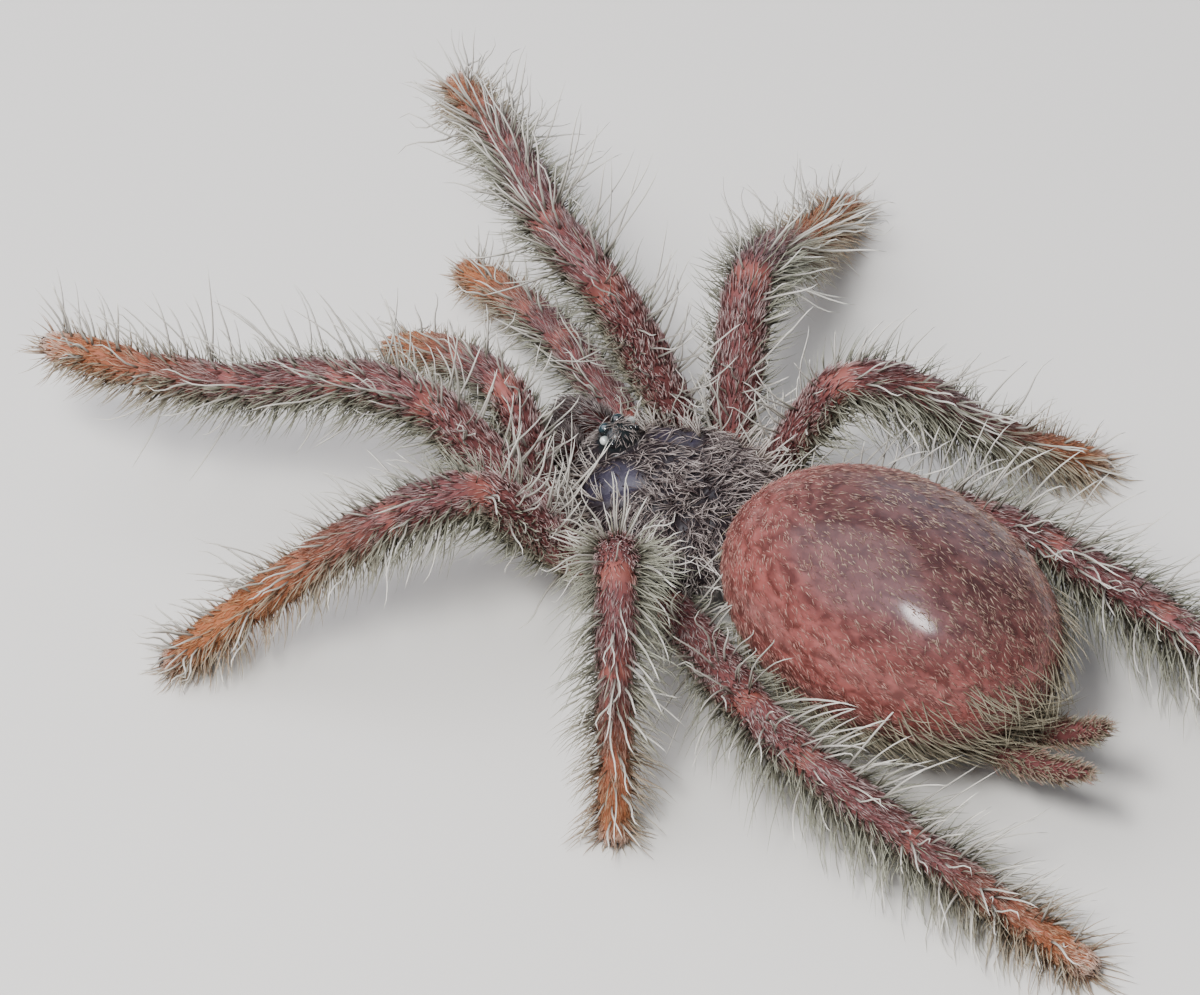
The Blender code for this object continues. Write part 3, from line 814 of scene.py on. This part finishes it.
def hair(spot, lifts, sways, length, width, rings, wave=0.0, waves=1.0, sag=0.0,
         taper=HAIR_TAPER, **traits):
    """Vertices, triangles, bake places and traits of many spikes.

    A spot is root, outward and onward directions and chart place. Each spike bends from
    the first lift and sway to the second, sags at its end, and waves from side to side.
    """
    root, outward, onward, chart = spot
    amount = len(root)
    share = np.linspace(0, 1, rings + 1)
    along = share[None, :, None]
    half = (length / 2)[:, None]
    first_way, last_way = (lean(outward, onward, lift, sway) for lift, sway in zip(lifts, sways))
    last_way = unit(last_way - np.broadcast_to(sag, amount)[:, None] * up_way)
    bend = root + first_way * half
    spine = ((1 - along) ** 2 * root[:, None] + 2 * along * (1 - along) * bend[:, None]
             + along ** 2 * (bend + last_way * half)[:, None])
    curl = unit(np.cross(onward, outward)) * np.broadcast_to(wave, amount)[:, None]
    spine += curl[:, None] * (np.sin(np.pi * waves * share) * share)[None, :, None]
    under = np.minimum(spine[..., 2] - FLOOR_ROOM, 0)
    spine[..., 2] += (FLOOR_ROOM - HAIR_ROOM) * (np.exp(under / (FLOOR_ROOM - HAIR_ROOM)) - 1) - under
    way = unit(np.gradient(spine, axis=1))
    start = np.where(np.abs(way[:, :1, 2:]) < 0.9, up_way, right_way)
    across = unit(np.cross(way, start))
    over = np.cross(way, across)
    thick = (width / 2)[:, None, None] * (1 - along[:, :-1]) ** taper
    rim = np.stack([
        spine[:, :-1] + thick * (across[:, :-1] * np.cos(angle) + over[:, :-1] * np.sin(angle))
        for angle in np.arange(3) * 2 * np.pi / 3], axis=2).reshape(amount, rings * 3, 3)
    vertices = np.concatenate([rim, spine[:, -1:]], axis=1)
    faces, columns = [(2, 1, 0)], [(2, 1, 0)]
    for ring in range(rings):
        for side in range(3):
            a, b = ring * 3 + side, ring * 3 + (side + 1) % 3
            if ring < rings - 1:
                faces += [(a, b, b + 3), (a, b + 3, a + 3)]
                columns += [(side, side + 1, side + 1), (side, side + 1, side)]
            else:
                faces.append((a, b, rings * 3))
                columns.append((side, side + 1, side + 0.5))
    faces, columns = np.array(faces), np.array(columns)
    rows = np.append(np.repeat(share[:-1], 3), 1.0)
    corner = np.stack([columns / 3 - 0.5, rows[faces] - 0.5], axis=-1) * BAKE_PATCH
    bake = np.clip(chart[:, None, None] + corner[None], 0, 1)
    whole = faces[None] + (np.arange(amount) * (rings * 3 + 1))[:, None, None]
    traits = {name: np.repeat(np.broadcast_to(values, amount), rings * 3 + 1)
              for name, values in traits.items()}
    traits["tip"] = np.tile(rows, amount)
    return vertices.reshape(-1, 3), whole.reshape(-1, 3), bake.reshape(-1, 2), traits


def coat(name, sets, finish):
    """One piece made of several sets of hairs."""
    vertices, faces, bakes, traits = zip(*sets)
    starts = np.cumsum([0, *map(len, vertices)])
    faces = np.concatenate([part + start for part, start in zip(faces, starts)])
    mesh = bpy.data.meshes.new(name)
    mesh.from_pydata(np.concatenate(vertices) * MM, (), faces)
    bake = mesh.uv_layers.new(name="OFBake")
    bake.data.foreach_set("uv", np.concatenate(bakes).astype(np.float32).ravel())
    for trait in traits[0]:
        attribute(mesh, trait, np.concatenate([part[trait] for part in traits]))
    mesh.validate()
    mesh.shade_smooth()
    mesh.materials.append(finish)
    made = bpy.data.objects.new(name, mesh)
    bpy.context.collection.objects.link(made)
    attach(made, "root")


def inset(chart):
    """A chart drawn in from the edges of its map, to leave room for the patches."""
    return np.clip(chart, 0, 1) * 0.98 + 0.01


def on_route(route, distance, around):
    """Spots on a limb's skin, so far along it and, in radians, round from its upper side."""
    end = np.clip(distance, 0, route.length)
    way = unit(route.at(end, route.way))
    over = unit(route.at(end, route.dorsal))
    flank = np.cross(way, over)
    out = over * np.cos(around)[:, None] + flank * np.sin(around)[:, None]
    cap = (np.clip((distance - route.length) / route.end_radius, 0, 1) * np.pi / 2)[:, None]
    outward = out * np.cos(cap) + way * np.sin(cap)
    onward = way * np.cos(cap) - out * np.sin(cap)
    depth = route.at(end, route.radius) - ROOT_DEPTH
    chart = np.stack([distance / route.whole, around / (2 * np.pi) + 0.5], axis=1)
    return route.at(end, route.point) + outward * depth[:, None], outward, onward, inset(chart)


def limb_coat(name, route, seed, kind):
    draw = Draws(seed)
    whole = route.whole
    area = 2 * np.pi * (route.radius[1:] * np.diff(route.along)).sum()

    # The nap: short, dense, lying toward the foot, thinner over the joints.
    draw.amount = int(area * NAP_PER_MM2)
    distance = draw.between(route.joints[0] * 0.8, whole - 0.04)
    around = draw.between(-np.pi, np.pi)
    end = np.minimum(distance, route.length)
    crowding = route.at(end, route.radius) / route.radius.max() * (1 + toe_shade(kind, end / whole))
    keep = (draw.share() < crowding) & (draw.share() > 0.35 * route.at(end, route.joint))
    distance, around, end = draw.kept(keep, distance, around, end)
    share = distance / whole
    toe = toe_shade(kind, share)
    tuft = draw.tufts(distance, around * GIRTH_UNIT, 0.22)
    sway = draw.about(9) + 9 * tuft
    lift = draw.between(*NAP_LIFT) + 3 * draw.tufts(distance, around * GIRTH_UNIT, 0.35)
    length = draw.between(*NAP_LENGTH) * (1 - 0.3 * toe)
    tint = np.clip(draw.beta(0.7, 1.1) + 0.14 * tuft, 0, 1)
    nap = hair(on_route(route, distance, around), (lift, lift * 0.35), (sway, sway + draw.about(10)),
               length, draw.between(*NAP_WIDTH), 2, tint=tint, toe=toe, fringe=0.0,
               flank=step_up(np.abs(around), 1.1, 2.2), joint=route.at(end, route.joint),
               pad=step_up(share, 0.93, 0.99))

    # The fringe: two or three times as long, standing out from the sides and underside.
    draw.amount = int(area * FRINGE_PER_MM2)
    distance = draw.between(route.joints[0], whole - 0.06)
    around = draw.between(-np.pi, np.pi)
    keep = (draw.share() < 0.06 + 0.94 * step_up(np.abs(around), 0.75, 1.15)) \
        & (draw.share() < 0.5 + 0.5 * step_up(distance / whole, 0.2, 0.45))
    distance, around = draw.kept(keep, distance, around)
    share = distance / whole
    toe = toe_shade(kind, share)
    tuft = draw.tufts(distance, around * GIRTH_UNIT, 0.24)
    sway = draw.about(9) + 13 * tuft
    lift = draw.between(*FRINGE_LIFT) + 7 * draw.tufts(distance, around * GIRTH_UNIT, 0.24)
    low = step_up(np.abs(around), 1.0, 2.2)
    shortest, longest = FRINGE_LENGTH[kind]
    length = shortest + (longest - shortest) * (0.5 * low + 0.5) * draw.share() ** 1.3
    length *= (1 - 0.25 * toe) * (0.55 + 0.45 * step_up(share, 0.15, 0.42))
    fringe = hair(on_route(route, distance, around), (lift, lift * (0.8 - 0.3 * low)),
                  (sway, sway + draw.about(14)), length, draw.between(*FRINGE_WIDTH), 3,
                  sag=0.35 * low, tint=draw.share(), toe=toe, fringe=draw.between(0.5, 0.8),
                  flank=1.0, joint=0.0, pad=0.0)

    # The bristles: few, longer than the limb is thick, wavy, mostly on the upper side.
    per_mm, longest = BRISTLES[kind]
    draw.amount = int(route.length * per_mm)
    distance = draw.between(route.joints[0], whole - 0.3)
    around = np.clip(draw.about(1.1), -3.1, 3.1)
    sway = draw.about(16)
    lift = draw.between(*BRISTLE_LIFT)
    length = draw.between(0.4, 1.0) * longest * (1 - 0.35 * step_up(distance / whole, 0.7, 1.0))
    wave = draw.about(0.10)
    bristles = hair(on_route(route, distance, around), (lift, lift - draw.between(5, 45)),
                    (sway, sway), length, draw.between(*BRISTLE_WIDTH), 6, wave, 2.0,
                    taper=BRISTLE_TAPER, tint=draw.share(), toe=0.0, fringe=1.0, flank=1.0,
                    joint=0.0, pad=0.0)
    coat(name, [nap, fringe, bristles], setae)


# Setae are hollow chitin, dark at the root and paler toward the tip: the dark root is painted shade
# where they stand close, and the pale tip is partly their own paler end and partly painted light that
# goes through them. Rusty on the feet, olive to cream where long.
setae, web, shader = fresh_material(
    "chitin_hair", Roughness=0.45, IOR=1.5, Specular_IOR_Level=0.4)
tip, toe, tint, long_hair, flank, joint, pad = (
    node(web, "ShaderNodeAttribute", attribute_name=name).outputs["Fac"]
    for name in ("tip", "toe", "tint", "fringe", "flank", "joint", "pad"))
# The paling from root to tip: painted shade at the crowded roots, and tips partly their own paler
# colour, partly painted light through them.
paling = node(web, "ShaderNodeMapRange", [("Value", tip)], _From_Min=0.12).outputs["Result"]
bristle = node(web, "ShaderNodeMapRange", [("Value", long_hair)], _From_Min=0.8).outputs["Result"]
base = layered(web, "#4b2928", (joint, "#7d4842"), (flank, "#473c33"), (toe, "#925431"),
               (pad, "#b88e78"), (long_hair, blend_colours(web, bristle, "#4a4b3f", "#8f8a80")))
end = layered(web, "#774845", (tint, "#e6d0cb"), (joint, "#d0a79c"), (flank, "#a8a38c"),
              (toe, blend_colours(web, tint, "#b56c3d", "#efc08e")), (pad, "#e8cdbb"),
              (long_hair, blend_colours(web, bristle, "#c9cab4", "#e9e5da")))
web.links.new(blend_colours(web, paling, base, end), shader.inputs["Base Color"])
for seed, (name, route) in enumerate(routes.items(), 100):
    limb_coat(f"coat_{name}", route, seed, name.rsplit("_", 1)[0])

# ---------------------------------------------------------------------------
# Abdomen coat. Fine flat hairs lie toward the spinnerets all over the abdomen and
# let its gloss through; longer, paler ones stand out low on its sides and behind.
# ---------------------------------------------------------------------------
ABDOMEN_AREA = 109.0
FINE_PER_MM2 = 86
SCALES_PER_MM2 = 48
FLANK_HAIRS = 1900
# Least and most length and width of each kind of hair.
FINE_SIZE = ((0.20, 0.36), (0.022, 0.036))
SCALE_SIZE = ((0.18, 0.30), (0.045, 0.070))
FLANK_SIZE = ((0.50, 1.35), (0.026, 0.040))


def pitched(vectors, pitch):
    """Left, forward and up, with the front pitched up, as directions in the frame."""
    cosine, sine = math.cos(pitch), math.sin(pitch)
    left, forward, up = vectors.T
    return np.stack([left, up * sine - forward * cosine, forward * sine + up * cosine], axis=1)


def along_skin(outward, way):
    """A direction as it lies in the skin."""
    return unit(way - outward * (way * outward).sum(axis=-1, keepdims=True))


def round_chart(units):
    """A stretched ball's skin, slit along the underside and laid out flat."""
    around = np.arctan2(units[:, 0], units[:, 2]) / (2 * np.pi) + 0.5
    return inset(np.stack([around, np.arccos(np.clip(units[:, 1], -1, 1)) / np.pi], axis=1))


def on_ball(centre, half, pitch, units, lie, share=1.0, start=0.0):
    """Spots on a stretched ball, with a share of its map, from points of the unit ball."""
    outward = unit(pitched(units / half, pitch))
    root = in_frame(*centre) + pitched(units * half, pitch) - outward * ROOT_DEPTH
    return root, outward, along_skin(outward, lie), round_chart(units) * (share, 1) + (start, 0)


# The abdomen's fine hair: thin chitin that takes the colour of the skin below, with
# paler tips, so that it reads as a soft nap and the skin's gloss shows between.
fine_hair, web, shader = fresh_material(
    "fine_abdomen_hair", Roughness=0.4, IOR=1.5, Specular_IOR_Level=0.45)
tip, tint, back, long_hair = (
    node(web, "ShaderNodeAttribute", attribute_name=name).outputs["Fac"]
    for name in ("tip", "tint", "back", "fringe"))
# On the upper back the hair is darker at the root and golden-brown at the end, partly its own colour
# and partly painted shade.
base = layered(web, "#7c4a41", (back, "#5f4540"), (long_hair, "#4b4839"))
end = layered(web, "#915f58", (tint, "#cca396"),
              (back, blend_colours(web, tint, "#7a5c50", "#cdb79f")), (long_hair, "#adab90"))
web.links.new(blend_colours(web, tip, base, end), shader.inputs["Base Color"])

abdomen = (ABDOMEN_CENTRE, np.array(ABDOMEN_HALF), ABDOMEN_PITCH)
backward = pitched(np.array([[0.0, -1.0, -0.45]]), ABDOMEN_PITCH)
draw = Draws(50)
draw.amount = int(ABDOMEN_AREA * FINE_PER_MM2)
units = draw.directions()
spot = on_ball(*abdomen, units, backward + draw.jitter(0.16))
lift = draw.between(5, 15)
tuft = draw.tufts(*(round_chart(units) * (14.0, 9.0)).T, 0.30)
sway = draw.about(8) + 11 * tuft
fine_coat = hair(spot, (lift + 6, lift - 4), (sway, sway + draw.about(8)),
                 *draw.size(*FINE_SIZE), 2, tint=np.clip(draw.beta(0.7, 1.2) + 0.2 * tuft, 0, 1),
                 back=upper_back_tone_and_shade(units), fringe=0.0)
# Broad pale hairs, pressed flat, dapple the red skin.
draw.amount = int(ABDOMEN_AREA * SCALES_PER_MM2)
units = draw.directions()
spot = on_ball(*abdomen, units, backward + draw.jitter(0.16))
lift = draw.between(8, 14)
sway = draw.about(14)
scales = hair(spot, (lift, lift * 0.2), (sway, sway), *draw.size(*SCALE_SIZE), 2,
              tint=draw.between(0.1, 0.75), back=upper_back_tone_and_shade(units), fringe=0.0)
# Long ones stand low on the sides, behind, and a few in front.
draw.amount = FLANK_HAIRS * 6
units = draw.directions()
beside, ahead, above = units.T
crowding = np.max([step_up(-above, 0.10, 0.50),
                   0.6 * step_up(0.4 * np.abs(beside) - ahead - 0.6 * above, 0.75, 1.0),
                   0.35 * step_up(ahead, 0.86, 0.97)], axis=0)
units, = draw.kept(draw.share() < crowding, units, most=FLANK_HAIRS)
spot = on_ball(*abdomen, units, backward + draw.jitter(0.2))
sway = draw.about(16)
lift = draw.between(16, 46)
long_coat = hair(spot, (lift, lift * 0.3), (sway, sway + draw.about(18)),
                 *draw.size(*FLANK_SIZE, 1 - 0.5 * step_up(units[:, 1], 0.5, 0.95)), 3,
                 tint=draw.share(), back=0.0, fringe=0.85)
coat("coat_abdomen", [fine_coat, scales, long_coat], fine_hair)

# ---------------------------------------------------------------------------
# Shell coat. Golden-cream hairs curl in swirls over the dark shell, but leave its
# cheeks and the eyes bare. Pale bristles stand beside it, and short hairs hang from
# its rim over the roots of the legs.
# ---------------------------------------------------------------------------
SHELL_HAIRS = 2000
RIM_BRISTLES = 130
CHEEK_BRISTLES = 60
BROW_HAIRS = 420
CREST_HAIRS = 150
RIM_HAIRS = 1100
SWIRL_SIZE = ((0.32, 0.72), (0.026, 0.042))
RIM_BRISTLE_SIZE = ((0.7, 1.4), (0.036, 0.055))
CHEEK_BRISTLE_SIZE = ((0.35, 0.75), (0.026, 0.036))
BROW_SIZE = ((0.16, 0.34), (0.020, 0.028))
CREST_SIZE = ((0.14, 0.34), (0.018, 0.028))
RIM_SIZE = ((0.30, 0.60), (0.026, 0.038))
RIM_AT = (1.80, 1.95)    # where the bristles beside the shell stand, out and forward
SLOPE_GAP = 0.03


def shell_chart(left, forward):
    return inset(np.stack([left, forward], axis=1) / (2 * np.array(SHELL_HALF)) + 0.5)


def flat(aside, back, up=0.0):
    """Directions along the board, or off it."""
    return np.stack(np.broadcast_arrays(aside, back, up), axis=-1)


def on_shell(left, forward, lie):
    """Spots on the shell's top."""
    slope_left, slope_ahead = (
        (head_height(left + one, forward + other) - head_height(left - one, forward - other))
        / (2 * SLOPE_GAP) for one, other in ((SLOPE_GAP, 0), (0, SLOPE_GAP)))
    outward = unit(flat(-slope_left, slope_ahead, 1.0))
    root = flat(MIDDLE[0] + left, MIDDLE[1] - forward, head_height(left, forward))
    return (root - outward * ROOT_DEPTH, outward, along_skin(outward, lie),
            shell_chart(left, forward))


# Chitin again, with little pigment: near black at the root and golden cream at the tip.
gold_hair, web, shader = fresh_material(
    "golden_shell_hair", Roughness=0.4, IOR=1.5, Specular_IOR_Level=0.45)
tip, tint, pale = (node(web, "ShaderNodeAttribute", attribute_name=name).outputs["Fac"]
                   for name in ("tip", "tint", "pale"))
paling = node(web, "ShaderNodeMapRange", [("Value", tip)], _From_Min=0.15).outputs["Result"]
base = blend_colours(web, pale, "#2a2021", "#857970")
end = layered(web, "#4f3f3d", (tint, "#e4d5cd"), (pale, "#f6efe6"))
web.links.new(blend_colours(web, paling, base, end), shader.inputs["Base Color"])

draw = Draws(60)
draw.amount = SHELL_HAIRS * 3
left = draw.between(-2.1, 2.1)
forward = draw.between(-2.2, 2.2)
along = forward / SHELL_HALF[1]
keep = (np.hypot(left / shell_width(along), along) < 0.97) \
    & ((cheek(left, forward) < 0.25) | (draw.share() < 0.12)) \
    & (mound_reach(left, forward) > np.where(forward < MOUND_CENTRE[1], 1.12, 1.5)) \
    & (draw.share() < 0.45 + 0.55 * step_up(-forward, -1.2, 0.4))
left, forward = draw.kept(keep, left, forward, most=SHELL_HAIRS)
# They turn away from the pit and backward.
swirl = unit(flat(left - PIT[0], PIT[1] - forward)) * 0.45 + np.array([0.0, 0.8, 0.0])
sway = draw.about(26) + 42 * draw.tufts(left + 5, forward + 5, 0.35)
lift = draw.between(14, 46)
wave = draw.about(0.15)
swirls = hair(on_shell(left, forward, unit(swirl)), (lift, draw.between(-12, 14)),
              (sway, sway + draw.about(30)), *draw.size(*SWIRL_SIZE), 4, wave,
              tint=draw.beta(0.7, 0.8), pale=0.0)

draw.amount = RIM_BRISTLES
side = draw.chance.choice([-1.0, 1.0], draw.amount)
angle = np.radians(draw.between(25, 150))
left, forward = side * np.sin(angle) * RIM_AT[0], np.cos(angle) * RIM_AT[1]
sway = draw.about(30)
lift = draw.between(40, 80)
wave = draw.about(0.12)
rim_bristles = hair(on_shell(left, forward, flat(left, -forward)),
                    (lift, lift - draw.between(0, 45)), (sway, sway),
                    *draw.size(*RIM_BRISTLE_SIZE), 6, wave, 1.5, tint=draw.share(), pale=1.0)

draw.amount = CHEEK_BRISTLES
side = draw.chance.choice([-1.0, 1.0], draw.amount)
angle = np.radians(draw.between(-40, 150))
left = side * (CHEEK[0] + CHEEK_HALF[0] * 0.95 * np.sin(angle))
forward = CHEEK[1] + CHEEK_HALF[1] * 0.95 * np.cos(angle)
sway = draw.about(35)
lift = draw.between(45, 80)
cheek_bristles = hair(on_shell(left, forward, flat(-left * 0.2, -1.0)), (lift, lift - 25),
                      (sway, sway + 20), *draw.size(*CHEEK_BRISTLE_SIZE), 4,
                      tint=draw.share(), pale=1.0)

# The brow: short hairs that ring the mound and point away from it.
draw.amount = BROW_HAIRS
reach = draw.between(1.0, 1.9)
angle = draw.about(1.5)
left = MOUND_CENTRE[0] + MOUND_HALF[0] * reach * np.sin(angle)
forward = np.minimum(MOUND_CENTRE[1] + MOUND_HALF[1] * reach * np.cos(angle), 2.02)
lift = draw.between(14, 50)
sway = draw.about(26)
brow = hair(on_shell(left, forward, flat(left, MOUND_CENTRE[1] - forward)), (lift, lift * 0.3),
            (sway, sway + 15), *draw.size(*BROW_SIZE), 3, tint=draw.share(),
            pale=0.3 * step_up(forward, 1.5, 1.9))

# A few short hairs on the mound's crest, between the eyes.
draw.amount = CREST_HAIRS
left = draw.about(0.15)
forward = draw.between(MOUND_CENTRE[1] - 0.42, MOUND_CENTRE[1] + 0.14)
lift = draw.between(15, 60)
sway = draw.about(40)
crest = hair(on_shell(left, forward, flat(2 * left, 1.0)), (lift, lift * 0.3),
             (sway, sway + 20), *draw.size(*CREST_SIZE), 3, tint=draw.share(),
             pale=0.2 * draw.share())

# The rim's own hairs hang outward over the roots of the legs.
draw.amount = RIM_HAIRS
corners, normals = spots(shell) / MM, unit(spots(shell, "normal"))
low_rim = (corners[:, 2] < SHELL_RIM + 0.45) & (corners[:, 2] > SHELL_RIM - 0.06)
picked = draw.chance.choice(np.flatnonzero(low_rim), draw.amount)
outward = normals[picked]
root = corners[picked] - outward * ROOT_DEPTH
left, forward = root[:, 0] - MIDDLE[0], MIDDLE[1] - root[:, 1]
spot = root, outward, along_skin(outward, flat(left, -forward, -0.8)), shell_chart(left, forward)
lift = draw.between(10, 45)
sway = draw.about(38)
wave = draw.about(0.10)
rim = hair(spot, (lift, lift * 0.5), (sway, sway + 20), *draw.size(*RIM_SIZE), 4, wave,
           tint=draw.share(), pale=draw.share() * 0.5)
coat("coat_shell", [swirls, rim_bristles, cheek_bristles, brow, crest, rim], gold_hair)

# ---------------------------------------------------------------------------
# Jaw, chest and tail coats. The jaws and the underside carry the shell's hair, but
# browner and wavier, and the spinnerets the abdomen's. Each hair is set as above.
# ---------------------------------------------------------------------------
JAW_HAIRS = 1300         # on each jaw
CHEST_HAIRS = 4800
TAIL_HAIRS = 900         # on each spinneret
JAW_SIZE = ((0.22, 0.50), (0.022, 0.034))
CHEST_SIZE = ((0.28, 0.62), (0.024, 0.036))
TAIL_SIZE = ((0.22, 0.58), (0.024, 0.036))
CHEST_REACH = 3.4        # ahead of and behind the shell's middle

jaw_sets = []
for sign, centre in zip(SIDES.values(), jaw_centres):
    draw.amount = JAW_HAIRS
    units = draw.directions()
    lie = pitched(np.array([[0.0, 1.0, -0.15]]), CHELICERA_PITCH)
    spot = on_ball(centre, np.array(CHELICERA_HALF), CHELICERA_PITCH, units, lie,
                   0.5, 0.0 if sign > 0 else 0.5)
    under = step_up(-units[:, 2], 0.1, 0.7)
    lift = draw.between(12, 34) + 22 * under
    sway = draw.about(18)
    jaw_sets.append(hair(spot, (lift, lift * 0.4), (sway, sway + draw.about(12)),
                         *draw.size(*JAW_SIZE), 3, tint=0.8 * draw.beta(0.8, 1.2),
                         pale=0.15 * under))
coat("coat_jaws", jaw_sets, gold_hair)

# Wavy cream hairs on the waist, the breastplate and the roots of the limbs.
draw.amount = CHEST_HAIRS
from_root = np.concatenate([route.along / route.joints[0] for route in routes.values()])
bare = (on_belly < 0.5) & (jaw_reach > 1.0) & ((from_root[index] < 1.25) | (on_limb < 0.5)) \
    & (np.abs(places[:, 1] - MIDDLE[1]) < CHEST_REACH)
picked = draw.chance.choice(np.flatnonzero(bare), draw.amount)
outward = unit(spots(skin, "normal"))[picked]
root = spots(skin)[picked] / MM - outward * ROOT_DEPTH + np.cross(outward, draw.jitter(0.03))
offset = root - in_frame(0, 0, 1.2)
onward = along_skin(outward, unit(offset * (1, 1, 0.2) + draw.jitter(0.3)))
low = step_up(0.95 - root[:, 2], 0.0, 0.3)
lift = draw.between(20, 60) * (1 - 0.5 * low)
sway = draw.about(28)
wave = draw.about(0.10)
chart = np.stack([np.arctan2(offset[:, 0], offset[:, 2]) / (2 * np.pi) + 0.5,
                  offset[:, 1] / 8 + 0.5], axis=1)
chest_hairs = hair((root, outward, onward, chart), (lift, lift * 0.3),
                   (sway, sway + draw.about(25)), *draw.size(*CHEST_SIZE, 1 - 0.35 * low), 3,
                   wave, tint=draw.share(), pale=draw.share() * 0.6 * (1 - low))
coat("coat_chest", [chest_hairs], gold_hair)

# Brown hairs with pale ends on the spinnerets.
tail_sets = []
for side, route in spinnerets.items():
    draw.amount = TAIL_HAIRS
    distance = draw.between(0.05, route.whole - 0.01)
    around = draw.between(-np.pi, np.pi)
    *spot, chart = on_route(route, distance, around)
    lift = draw.between(16, 52)
    sway = draw.about(18)
    chart = chart * (1, 0.5) + (0, 0.0 if side == "left" else 0.5)
    tail_sets.append(hair((*spot, chart), (lift, lift * 0.3), (sway, sway + draw.about(12)),
                          *draw.size(*TAIL_SIZE, 1 - 0.3 * distance / route.whole), 3,
                          tint=draw.share(), back=0.0, fringe=draw.share() ** 0.7))
coat("coat_spinnerets", tail_sets, fine_hair)
